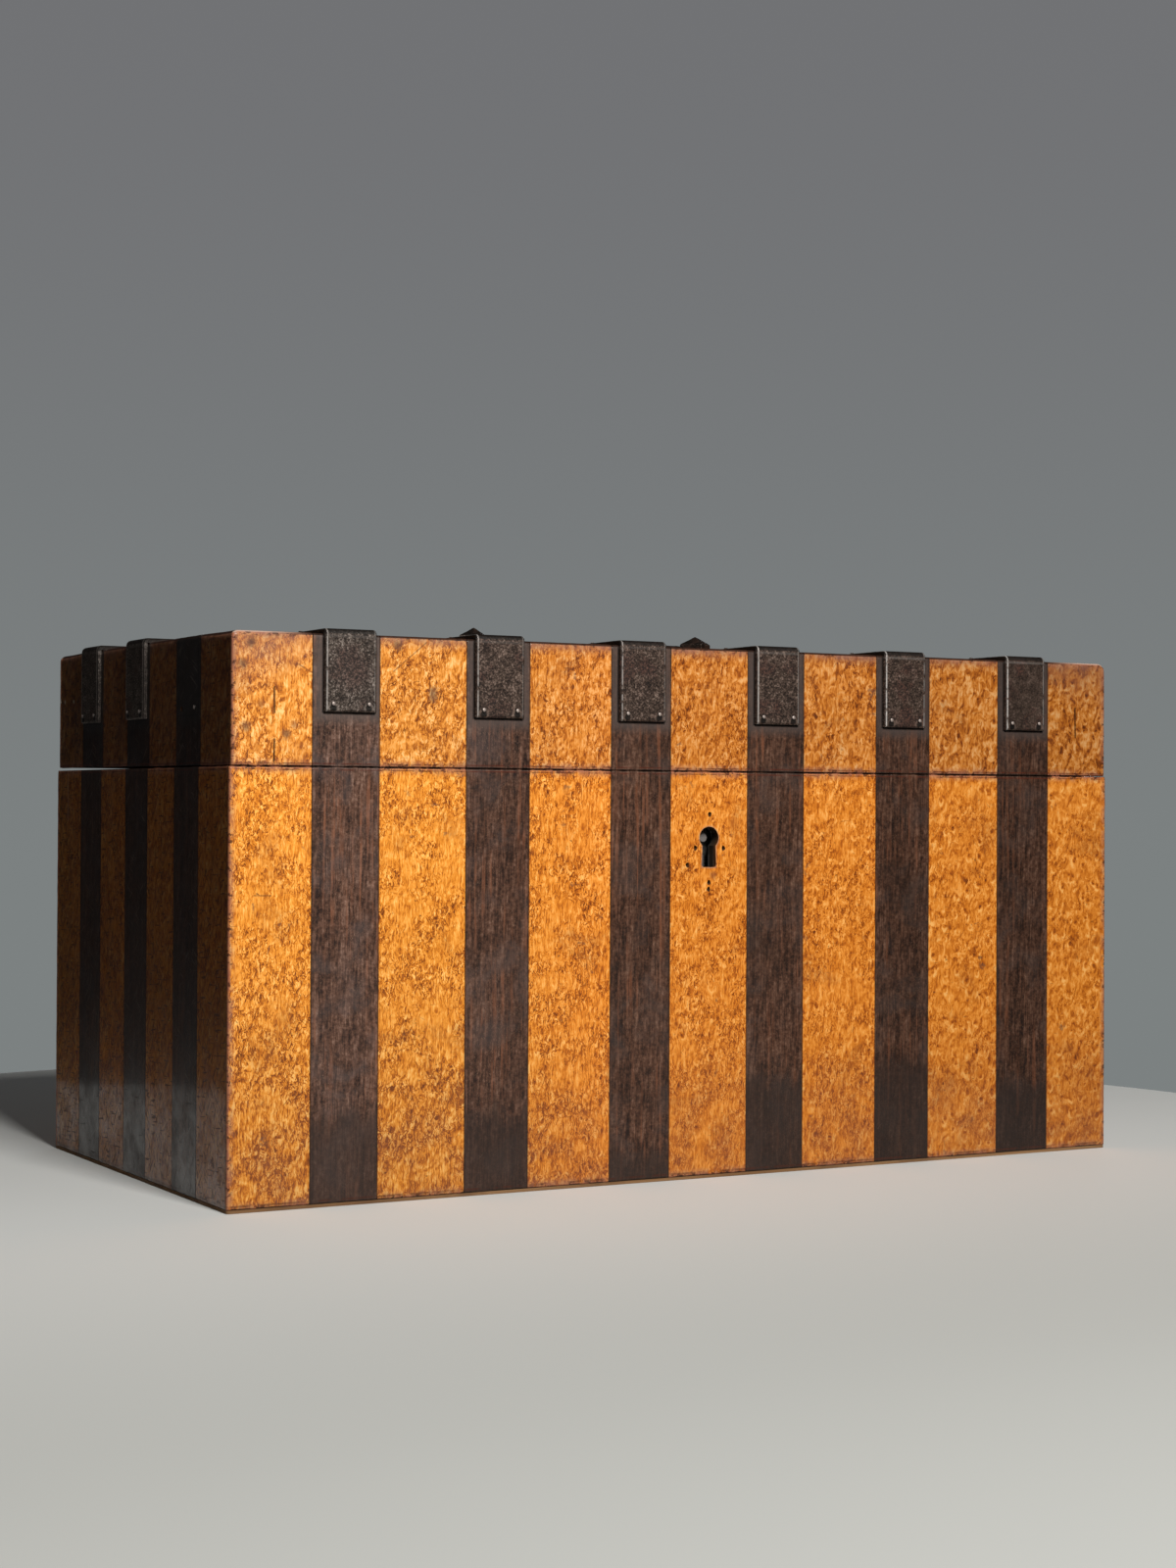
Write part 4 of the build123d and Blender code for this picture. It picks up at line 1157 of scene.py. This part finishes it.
def strip_values(body, face, wood):
    """The strips of one wood on one face, from the CAD: their middles, and the values that shape each one."""
    turn = face_turns[face]
    back = turn.to_matrix().transposed()
    rows = []
    for low, high in loose_boxes(f"{body}_{face}_{wood}"):
        middle = (low + high) / 2
        rows.append((middle, Vector(abs(v) for v in back @ (high - low)), back @ middle))
    rows.sort(key=lambda row: row[2].x)
    foot, head, ends = {
        "case": (foot_round, seam_round, (0, 1, 0)),
        "lid": (seam_round, crown_round, (1, 0, 1)),
    }[body]
    rise = 0
    if face == "top":
        foot, head, ends = joint_round, joint_round, (0, 0, 0)
        rise = lid_top + box_half_depth
    strips = []
    for index, (_, size, centre) in enumerate(rows):
        column = round(centre.x / column_spacing) + 20
        chance = random.Random(f"{'front' if face == 'top' else face} {wood} {column}")
        outer = wood == "maple" and face in ("front", "back")
        left = corner_round if outer and index == 0 else joint_round
        right = corner_round if outer and index == len(rows) - 1 else joint_round
        strips.append(
            {
                "turn": tuple(turn),
                "size": size,
                "outward": turn.to_matrix() @ Vector((0, -1, 0)),
                "side_radii": (left, right, 0),
                "end_radii": (foot, head, 0),
                "across": centre.x,
                "along": centre.z + rise,
                "seed": chance.uniform(0, 9),
                "sunk": chance.random(),
                "ends": ends,
                "polish": {"left": 2.5, "right": 1.6}.get(face, 1.0),
                "curly": min(1.0, max(0.0, 0.35 + 5.0 * centre.x + chance.uniform(-0.25, 0.25))),
                "clipped": float(body == "lid" and wood == "rosewood"),
                # the tone: a little random for each strip, times the painted shade of strip_tone
                "tone": strip_tone(body, face, wood, centre.x) * chance.uniform(0.95, 1.05),
            }
        )
    return [row[0] for row in rows], {label: [strip[label] for strip in strips] for label in strips[0]}


def strip_tone(body, face, wood, across):
    """How light the wood of a strip is. On the front and top the strips darken towards the right, a painted
    shade for light that falls off across the front; the lid's front maple is darker still. The left end's
    strips are painted dark, as shade.
    """
    middle, slope = {"maple": (1.24, -1.8), "rosewood": (1.30, -3.2)}[wood]
    if face in ("front", "top"):
        # Painted shade: the lid's front maple darker, and darker again towards the right.
        painted_lid_shade = 0.80 - 0.9 * across if (body, face, wood) == ("lid", "front", "maple") else 1.0
        return (middle + slope * across) * painted_lid_shade
    # Painted shade: the left end's strips darker than their wood.
    if face == "left":
        return {"case": 0.62, "lid": 0.36}[body]
    return 0.92


def veneer_faces(tree):
    """Every face's strips, one piece for each CAD node of strips."""
    made = {}
    sides = ("front", "back", "left", "right")
    for body, faces in (("case", sides), ("lid", (*sides, "top"))):
        for face in faces:
            for wood in ("maple", "rosewood"):
                node = f"{body}_{face}_{wood}"
                places, values = strip_values(body, face, wood)
                points = point_cloud(node, places, **values)
                rows = 64 if body == "case" or face == "top" else 30
                piece = grow(f"{node}_strips", points, tree, finishes[wood], rows_along=rows)
                made[node] = (piece, body, wood)
    return made


# Geometry Nodes: the iron clips


def clips_tree():
    """Clips on points: a strip of iron bent over the lid's edge, filed at its borders and hammered."""
    graph, given = tree_with(
        shaping,
        "edge clips",
        geometry=GEOMETRY,
        blank=OBJECT,
        width=clip_width,
        thickness=clip_thickness,
        bend=clip_bend,
        reach=clip_reach,
        border=clip_border,
        border_drop=clip_border_drop,
        hammering=clip_hammering,
        material=MATERIAL,
    )
    bar = graph.value("GeometryNodeObjectInfo", {"Object": given.blank}, "Geometry")
    position = graph.value("GeometryNodeInputPosition")
    wide, y, along = graph.split(position)
    straight = given.reach - given.bend
    arc = given.bend * (pi / 2)
    half = arc * 0.5 + straight
    angle = graph.math("ADD", along / arc, 0.5, clamp=True) * (pi / 2)
    down = graph.smaller(along + arc * 0.5, 0.0)
    inward = graph.larger(along - arc * 0.5, 0.0)
    rim = graph.smaller(given.width * 0.5 - abs(wide), half - abs(along))
    filed = graph.math("SUBTRACT", 1.0, rim / given.border, clamp=True) * given.border_drop
    outer = y < 0.0
    radius = given.bend - (outer * filed + (1.0 - outer) * given.thickness)
    centre = given.bend - given.thickness
    place_y = centre - graph.math("COSINE", angle) * radius + inward
    place_z = graph.math("SINE", angle) * radius - centre + down
    from_pin = graph.join(abs(wide) - clip_pin_side, abs(along) - (half - clip_pin_end))
    bent = moved(graph, bar, Position=graph.join(wide, place_y, place_z))
    bent = stored(graph, bent, "near_rim", far - rim)
    bent = stored(graph, bent, "spot", graph.join(wide, along), triple)
    bent = stored(graph, bent, "near_pin", graph.larger(far - graph.vector("LENGTH", from_pin), 0.0))
    bent = stored(graph, bent, "leg", down / straight)
    bent = stored(graph, bent, "outer", outer)
    clips = realized(graph, placed(graph, given.geometry, bent))
    shorter = named(graph, "leg") * named(graph, "short") * -1.0
    clips = moved(graph, clips, Offset=graph.join(z=shorter))
    blows = graph.noise(position, 260.0, 2.0, 0.5)
    nicks = graph.noise(position, 900.0, 2.0, 0.5)
    dent = (blows * 0.75 + nicks * 0.25) * named(graph, "outer") * given.hammering
    return dressed(graph, pushed(graph, clips, dent * -1.0), given.material)


def join_rings(mesh, lower, upper):
    """Faces between two rings of vertices, either of which can be a single point."""
    count = max(len(lower), len(upper))
    for k in range(count):
        n = (k + 1) % count
        corners = [lower[k % len(lower)], lower[n % len(lower)]]
        corners += [upper[n % len(upper)], upper[k % len(upper)]]
        mesh.faces.new(list(dict.fromkeys(corners)))


def rows_from_edge(length, step, fixed):
    """Places from 0 to the length: the fixed ones near each end and even steps between."""
    between = length - 2 * fixed[-1]
    count = max(2, round(between / step))
    rows = list(fixed) + [fixed[-1] + between * k / count for k in range(1, count)]
    return rows + [length - place for place in reversed(fixed)]


def clip_blank():
    """The flat bar from which the clips are bent, with rows of vertices along its filed border."""
    half = clip_reach - clip_bend + clip_bend * pi / 4
    near = [0.0, 0.25 * clip_border, 0.85 * clip_border, clip_border, 0.6 * mm, 1.0 * mm, 1.5 * mm]
    across = [place - clip_width / 2 for place in rows_from_edge(clip_width, 0.75 * mm, near)]
    along = [place - half for place in rows_from_edge(2 * half, 0.70 * mm, near)]
    mesh = bmesh.new()
    sheets = [[[mesh.verts.new((x, y, z)) for z in along] for x in across] for y in (-0.5, 0.5)]
    for sheet in sheets:
        for first, second in zip(sheet, sheet[1:]):
            for k in range(len(along) - 1):
                mesh.faces.new([first[k], second[k], second[k + 1], first[k + 1]])

    def border(sheet):
        last_column, first_column = [row[-1] for row in sheet[1:-1]], [row[0] for row in sheet[-2:0:-1]]
        return sheet[0] + last_column + sheet[-1][::-1] + first_column

    join_rings(mesh, border(sheets[0]), border(sheets[1]))
    bmesh.ops.recalc_face_normals(mesh, faces=mesh.faces)
    return object_from("clip_blank", mesh)


def clip_face(low, high):
    """Which side of the lid a clip is on."""
    if low.y < -box_half_depth:
        return "front"
    if high.y > box_half_depth:
        return "back"
    return "left" if low.x < 0 else "right"


def edge_clips(tree):
    """Each CAD node of clips again, as bent and hammered iron."""
    made = []
    lid_half_length = lid_high.x
    blank = clip_blank()
    for node in sorted(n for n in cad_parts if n.startswith("clip") and n != "clip_pins"):
        places, turns, short = [], [], []
        for low, high in loose_boxes(node):
            face = clip_face(low, high)
            middle = (low + high) / 2
            slide, less = (first_clip_slide, first_clip_short) if node == "clip_front_1" else (0.0, 0.0)
            places.append(
                {
                    "front": (middle.x + slide, -box_half_depth, lid_top),
                    "back": (middle.x, box_half_depth, lid_top),
                    "left": (-lid_half_length, middle.y, lid_top),
                    "right": (lid_half_length, middle.y, lid_top),
                }[face]
            )
            turns.append(tuple(face_turns[face]))
            short.append(less)
        points = point_cloud(node, places, turn=turns, short=short)
        piece = grow(f"{node}_iron", points, tree, finishes["clip_iron"], blank=blank)
        made.append((piece, node))
    bpy.data.objects.remove(blank)
    return made


# Geometry Nodes: the pins


def turned(name, profile, sides):
    """A turned solid from (radius, height) points, first and last on the axis."""
    mesh = bmesh.new()
    rings = []
    for radius, height in profile:
        if radius == 0:
            rings.append([mesh.verts.new((0, 0, height))])
        else:
            angles = [2 * pi * k / sides for k in range(sides)]
            rings.append([mesh.verts.new((radius * cos(a), radius * sin(a), height)) for a in angles])
    for lower, upper in zip(rings, rings[1:]):
        join_rings(mesh, lower, upper)
    bmesh.ops.recalc_face_normals(mesh, faces=mesh.faces)
    return object_from(name, mesh)


def pins_tree():
    """Pins on points: one turned pin, set at its own slight tilt."""
    graph, given = tree_with(
        shaping,
        "clip pins",
        geometry=GEOMETRY,
        pin=OBJECT,
        tilt=0.05,
        unevenness=0.05 * mm,
        material=MATERIAL,
    )
    pin = graph.value("GeometryNodeObjectInfo", {"Object": given.pin}, "Geometry")
    position = graph.value("GeometryNodeInputPosition")
    pin = stored(graph, pin, "rise", graph.larger(graph.split(position)[2] / pin_dome, 0.0))
    spread = {"Seed": 4, 0: (-1, -1, -1), 1: (1, 1, 1)}
    spread = graph.value("FunctionNodeRandomValue", spread, data_type=triple)
    tilt = graph.value("FunctionNodeEulerToRotation", {0: graph.scaled(spread, given.tilt)})
    tilted = {"Instances": placed(graph, given.geometry, pin), "Rotation": tilt}
    pins = realized(graph, graph.value("GeometryNodeRotateInstances", tilted))
    dent = (graph.noise(position, 900.0, 2.0, 0.5) - 0.5) * given.unevenness
    return dressed(graph, pushed(graph, pins, dent), given.material)


def clip_pins(tree):
    """The domed pins of all the clips, and the one that the lost clip has left."""
    head, dome, shank, length = pin_head_radius, pin_dome, pin_shank_radius, pin_length
    profile = [(0, -length), (0.25 * shank, -0.97 * length), (shank, -0.79 * length), (shank, -0.02 * mm)]
    profile += [(0.98 * head, -0.02 * mm), (head, 0.12 * dome), (0.95 * head, 0.38 * dome)]
    profile += [(0.76 * head, 0.72 * dome), (0.45 * head, 0.93 * dome), (0, dome)]
    pin = turned("one_pin", profile, pin_sides)
    places, turns = [], []
    for low, high in loose_boxes("clip_pins"):
        middle, size = (low + high) / 2, high - low
        if size.z > 3 * mm:
            outward = Vector((0, 0, 1))
        elif size.x > size.y:
            outward = Vector((-1 if middle.x < 0 else 1, 0, 0))
        else:
            outward = Vector((0, -1 if middle.y < 0 else 1, 0))
        half = max(size) / 2
        place = middle + outward * (half - dome)
        if outward.y < 0 and middle.x < first_clip_right:
            place += Vector((first_clip_slide, 0, first_clip_short))
        places.append(place)
        turns.append(tuple(outward.to_track_quat("Z", "Y").to_euler()))
    points = point_cloud("pins", places, turn=turns)
    piece = grow("clip_pins_domed", points, tree, finishes["pin_iron"], pin=pin)
    bpy.data.objects.remove(pin)
    return piece


# The posts and the bail: hand-forged, so their CAD shapes come back softened and uneven


def forged(name, node, grid, soften, dent, dent_size):
    """A copy of a CAD node with its edges rubbed round and its faces slightly uneven."""
    piece = object_from(name, merged_copy(node), finishes["iron"])
    remesh = piece.modifiers.new("remesh", "REMESH")
    remesh.mode = "VOXEL"
    remesh.voxel_size = grid
    smooth = piece.modifiers.new("smooth", "SMOOTH")
    smooth.factor = 0.5
    smooth.iterations = soften
    mesh = finished_mesh(piece)
    co = coordinates(mesh)
    normals = np.zeros(co.size)
    mesh.vertices.foreach_get("normal", normals)

    def unevenness(size):
        return np.array([noise.noise(Vector(place) / size) for place in co])

    push = unevenness(dent_size) + 0.4 * unevenness(dent_size / 2.7)
    co += normals.reshape(-1, 3) * (dent * (push - 0.3))[:, None]
    mesh.vertices.foreach_set("co", co.ravel())
    rim = mesh.attributes.new("near_rim", "FLOAT", "POINT")
    rim.data.foreach_set("value", (far - edge_distance(mesh)).astype(np.float32))
    mesh.update()
    return piece


sharp_bulge = 0.16  # how far a vertex stands out of its neighbours at a sharp edge, in edge lengths


def edge_distance(mesh):
    """Small where a surface turns sharply outwards, large where it is flat or hollow."""
    work = bmesh.new()
    work.from_mesh(mesh)
    work.normal_update()
    values = np.ones(len(work.verts))
    for vert in work.verts:
        around = [edge.other_vert(vert).co for edge in vert.link_edges]
        if not around:
            continue
        mean = sum(around, Vector()) / len(around)
        length = sum((co - vert.co).length for co in around) / len(around)
        bulge = (vert.co - mean).dot(vert.normal) / max(length, 1e-9)
        values[vert.index] = max(0.0, 1.0 - bulge / sharp_bulge) * 1.2 * mm
    work.free()
    return values


# The keyhole and the pin holes round it


def lofted(sections):
    """A solid through closed outlines of the same number of points."""
    mesh = bmesh.new()
    rings = [[mesh.verts.new(point) for point in section] for section in sections]
    for lower, upper in zip(rings, rings[1:]):
        join_rings(mesh, lower, upper)
    mesh.faces.new(rings[0][::-1])
    mesh.faces.new(rings[-1])
    bmesh.ops.recalc_face_normals(mesh, faces=mesh.faces)
    return mesh


def keyhole_outline(y, spare):
    """The keyhole's outline at one depth, widened by spare."""
    radius, half = keyhole_radius + spare, keyhole_half_slot + spare
    start = atan2(-((radius**2 - half**2) ** 0.5), half)
    steps = 28
    points = []
    for k in range(steps + 1):
        angle = start + (pi - 2 * start) * k / steps
        points.append((radius * cos(angle), y, keyhole_z + radius * sin(angle)))
    foot = keyhole_foot_z - spare
    corner = 0.8 * mm
    flare = 0.25 * mm
    for side, arc in ((-1, range(0, 5)), (1, range(4, -1, -1))):
        for k in arc:
            angle = pi / 2 * k / 4
            x = half + flare - corner * (1 - cos(angle))
            points.append((side * x, y, foot + corner * (1 - sin(angle))))
    return points


def keyhole_cutter():
    """The keyhole through the veneer, worn wide at its mouth."""
    face = -box_half_depth
    depths = [(-1.0, 1.3), (-0.02, 1.0), (0.14, 0.45), (0.35, 0.12), (0.7, 0.0), (2.0, 0.0)]
    return lofted([keyhole_outline(face + depth * mm, share * keyhole_wear) for depth, share in depths])


def hole_cutter(place, face, radius, depth, tilt):
    """A pin hole with a slightly broken mouth, into one of the faces."""
    turn = face_turns[face].to_matrix()
    sections = []
    for inwards, share in ((-0.5, 1.3), (0.02, 1.15), (0.2, 1.0), (depth / mm, 0.5)):
        ring = []
        for k in range(12):
            angle = 2 * pi * k / 12
            reach = share * radius * (1 + 0.12 * sin(3 * angle + tilt))
            point = (reach * cos(angle), inwards * mm, hole_height * reach * sin(angle))
            ring.append(Vector(place) + turn @ Vector(point))
        sections.append(ring)
    return lofted(sections)


def coordinates(mesh):
    """The places of the mesh's vertices."""
    flat = np.zeros(len(mesh.vertices) * 3)
    mesh.vertices.foreach_get("co", flat)
    return flat.reshape(-1, 3)


def named_values(mesh):
    """The values that the mesh keeps at its vertices, by name."""
    values = {}
    for attribute in mesh.attributes:
        if attribute.domain == "POINT" and attribute.name != "position" and not attribute.is_internal:
            if attribute.data_type in ("FLOAT", triple):
                width, key = (1, "value") if attribute.data_type == "FLOAT" else (3, "vector")
                flat = np.zeros(len(mesh.vertices) * width)
                attribute.data.foreach_get(key, flat)
                values[attribute.name] = flat.reshape(-1, width)
    return values


def lay_again(mesh, places, values):
    """Gives a cut mesh its values back: each from the nearest old vertex, the figure from its place."""
    tree = KDTree(len(places))
    for index, place in enumerate(places):
        tree.insert(place, index)
    tree.balance()
    now = coordinates(mesh)
    nearest = [tree.find(place)[1] for place in now]
    for name, old in values.items():
        new = old[nearest]
        if name == "figure":
            straight = np.linalg.lstsq(np.c_[places, np.ones(len(places))], old[:, :2], rcond=None)[0]
            new[:, :2] = np.c_[now, np.ones(len(now))] @ straight
        kind, key = ("FLOAT", "value") if old.shape[1] == 1 else (triple, "vector")
        attribute = mesh.attributes.get(name) or mesh.attributes.new(name, kind, "POINT")
        attribute.data.foreach_set(key, new.astype(np.float32).ravel())


def bored(piece, cutters):
    """Cuts holes into a piece."""
    places, values = coordinates(piece.data), named_values(piece.data)
    whole = bmesh.new()
    for cutter in cutters:
        data = bpy.data.meshes.new("cutter")
        cutter.to_mesh(data)
        cutter.free()
        whole.from_mesh(data)
    tool = object_from("tool", whole, raw_edge)
    boolean = piece.modifiers.new("bored", "BOOLEAN")
    boolean.object = tool
    boolean.solver = "EXACT"
    boolean.material_mode = "TRANSFER"
    lay_again(finished_mesh(piece), places, values)
    bpy.data.objects.remove(tool)


def bore_front(piece):
    """The keyhole, and what is left of the pins of its lost plate."""
    cutters = [keyhole_cutter()]
    for index, (x, up) in enumerate(plate_pin_holes):
        place = (x * mm, -box_half_depth, keyhole_z + up * mm)
        cutters.append(hole_cutter(place, "front", plate_pin_hole_radius, 1.1 * mm, index))
    bored(piece, cutters)


def bore_lost_clip(side_piece, top_piece):
    """The pin holes of the clip that the left end has lost."""
    low, high = loose_boxes("lid_left_rosewood")[0]
    middle = (low.y + high.y) / 2
    reach = clip_reach - clip_thickness - clip_pin_end
    side, top = [], []
    for y in (middle - clip_pin_side, middle + clip_pin_side):
        side.append(hole_cutter((low.x, y, lid_top - reach), "left", lost_clip_hole_radius, 0.9 * mm, y))
        top.append(hole_cutter((low.x + reach, y, lid_top), "top", lost_clip_hole_radius, 0.9 * mm, y))
    bored(side_piece, side)
    bored(top_piece, top)


def wear_lid_ends(piece):
    """Rounds the lid's short top edges in one of its pieces, most at the corners."""
    mesh = piece.data
    co = coordinates(mesh)
    share = np.clip((abs(co[:, 1]) - end_round_from) / end_round_run, 0, 1)
    for side, (midway, corner) in end_round.items():
        radius = midway + (corner - midway) * share**2 * (3 - 2 * share)
        x = side * co[:, 0] - (lid_high.x - radius)
        z = co[:, 2] - (lid_top - radius)
        inside = (x > 0) & (z > 0)
        shrink = np.where(inside, np.maximum(x, z) / np.maximum(np.hypot(x, z), 1e-9), 1.0)
        co[:, 0] = np.where(inside, side * (lid_high.x - radius + x * shrink), co[:, 0])
        co[:, 2] = np.where(inside, lid_top - radius + z * shrink, co[:, 2])
    mesh.vertices.foreach_set("co", co.ravel())
    mesh.update()


# The scene


def seen_ray(graph):
    """The kinds of ray; and 1 for rays that show the floor or backdrop, 0 for the light that it sends on."""
    path = graph.values(graph.put("ShaderNodeLightPath"))
    return path, graph.larger(path.is_camera_ray, path.is_glossy_ray, path.is_transmission_ray)


def floor_finish():
    """A plain pale floor that sends little light back onto the box."""
    material = bpy.data.materials.new("pale floor")
    material.use_nodes = True
    graph = Graph(material.node_tree)
    graph.tree.nodes.remove(graph.tree.nodes["Principled BSDF"])
    _, seen = seen_ray(graph)
    place = graph.value("ShaderNodeTexCoord", output="Object")
    # The floor's colour is darker near the camera and paler further off and to the left: painted light and
    # shade that even out how the lamps fall on it.
    lean = 0.6
    ahead = (sin(camera_yaw) - lean * cos(camera_yaw), cos(camera_yaw) + lean * sin(camera_yaw), 0)
    start = camera_place[0] * ahead[0] + camera_place[1] * ahead[1]
    away = graph.vector("DOT_PRODUCT", place, ahead) - start
    shade = graph.mix(graph.ramp(away, 0.44, 0.76), (0.505, 0.520, 0.505), (0.765, 0.785, 0.775))
    pale = graph.value("ShaderNodeBsdfDiffuse", {"Color": shade})
    dim = graph.value("ShaderNodeBsdfDiffuse", {"Color": (0.10, 0.10, 0.10, 1)})
    mixed = graph.value("ShaderNodeMixShader", {0: seen, 1: dim, 2: pale})
    graph.feed(graph.tree.nodes["Material Output"].inputs["Surface"], mixed)
    return material


def floor():
    """A pale floor, round behind the box and widening smoothly in front of it."""
    ahead = Vector((sin(camera_yaw), cos(camera_yaw), 0))
    aside = Vector((cos(camera_yaw), -sin(camera_yaw), 0))
    bends = [
        (0, 0, floor_round, floor_round, 0, pi),
        (-2 * floor_round, 0, floor_round, floor_round, 0, -pi / 2),
        (-0.7, -0.5, 0.2, 0.2, pi / 2, pi),
        (0, -0.5, 0.9, 0.6, pi, 2 * pi),
        (0.7, -0.5, 0.2, 0.2, 0, pi / 2),
        (2 * floor_round, 0, floor_round, floor_round, -pi / 2, -pi),
    ]
    outline = []
    for right, away, wide, deep, first, last in bends:
        turns = [first + (last - first) * k / 96 for k in range(96)]
        outline += [aside * (right + wide * cos(turn)) + ahead * (away + deep * sin(turn)) for turn in turns]
    mesh = bmesh.new()
    mesh.faces.new([mesh.verts.new(Vector(floor_centre) + point) for point in outline])
    mesh.normal_update()
    made = object_from("floor", mesh, floor_finish())


def surroundings():
    """Mid grey behind, and a dim even light."""
    world = bpy.data.worlds.new("surroundings")
    bpy.context.scene.world = world
    world.use_nodes = True
    graph = Graph(world.node_tree)
    path, seen = seen_ray(graph)
    _, _, height = graph.split(graph.value("ShaderNodeTexCoord", output="Generated"))
    backdrop = graph.mix(graph.ramp(height, -0.06, 0.30), (0.202, 0.220, 0.220), (0.166, 0.169, 0.176))
    colour = graph.mix(path.is_glossy_ray, backdrop, (0.014, 0.014, 0.015))
    colour = graph.mix(seen, (0.036, 0.036, 0.036), colour)
    background = graph.tree.nodes["Background"]
    graph.feed(background.inputs["Color"], colour)


def lamp(name, place, towards, size, power, colour):
    data = bpy.data.lights.new(name, "AREA")
    data.shape = "SQUARE"
    data.size = size
    data.energy = power
    data.color = colour
    made = bpy.data.objects.new(name, data)
    made.location = place
    made.rotation_euler = (Vector(towards) - Vector(place)).to_track_quat("-Z", "Y").to_euler()
    bpy.context.scene.collection.objects.link(made)


def camera():
    data = bpy.data.cameras.new("camera")
    data.lens = camera_lens
    data.sensor_width = sensor_width
    data.sensor_fit = "AUTO"
    made = bpy.data.objects.new("camera", data)
    turn = Matrix.Rotation(-camera_yaw, 4, "Z")
    tip = Matrix.Rotation(pi / 2 + camera_pitch, 4, "X")
    roll = Matrix.Rotation(camera_roll, 4, "Z")
    made.matrix_world = Matrix.Translation(camera_place) @ turn @ tip @ roll
    bpy.context.scene.collection.objects.link(made)
    bpy.context.scene.camera = made


def claim(piece, body, slot, *nodes):
    """The piece rides on the body and stands for the CAD nodes."""
    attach(piece, body)
    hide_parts(*nodes)


camera()
floor()
surroundings()
lamp("key", (-0.13, -1.0, 0.78), (0, -0.05, 0.07), 0.3, 14.4, (1, 0.97, 0.93))
lamp("rear", (1.2, 1.2, 0.25), (0, 0, 0.09), 0.4, 4.0, (0.96, 0.98, 1))
bpy.context.scene.view_settings.view_transform = "Standard"

strips = veneer_faces(strips_tree())
bore_front(strips["case_front_maple"][0])
bore_lost_clip(strips["lid_left_rosewood"][0], strips["lid_top_maple"][0])
for piece, body, _ in strips.values():
    if body == "lid":
        wear_lid_ends(piece)
for node, (piece, body, wood) in strips.items():
    claim(piece, body, wood, node)

for piece, node in edge_clips(clips_tree()):
    claim(piece, "lid", "iron", node)
claim(clip_pins(pins_tree()), "lid", "iron", "clip_pins")

for side in ("left", "right"):
    node = f"handle_post_{side}"
    claim(forged(f"{node}_forged", node, 0.22 * mm, 3, 0.10 * mm, 1.6 * mm), "lid", "iron", node)
bail = forged("handle_bail_forged", "handle_bail", 0.3 * mm, 3, 0.12 * mm, 2.5 * mm)
claim(bail, "bail", "iron", "handle_bail")

for name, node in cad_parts.items():
    for place in node.material_slots:
        key = place.material.name.split(".")[0]
        if key in finishes:
            place.material = finishes[key]
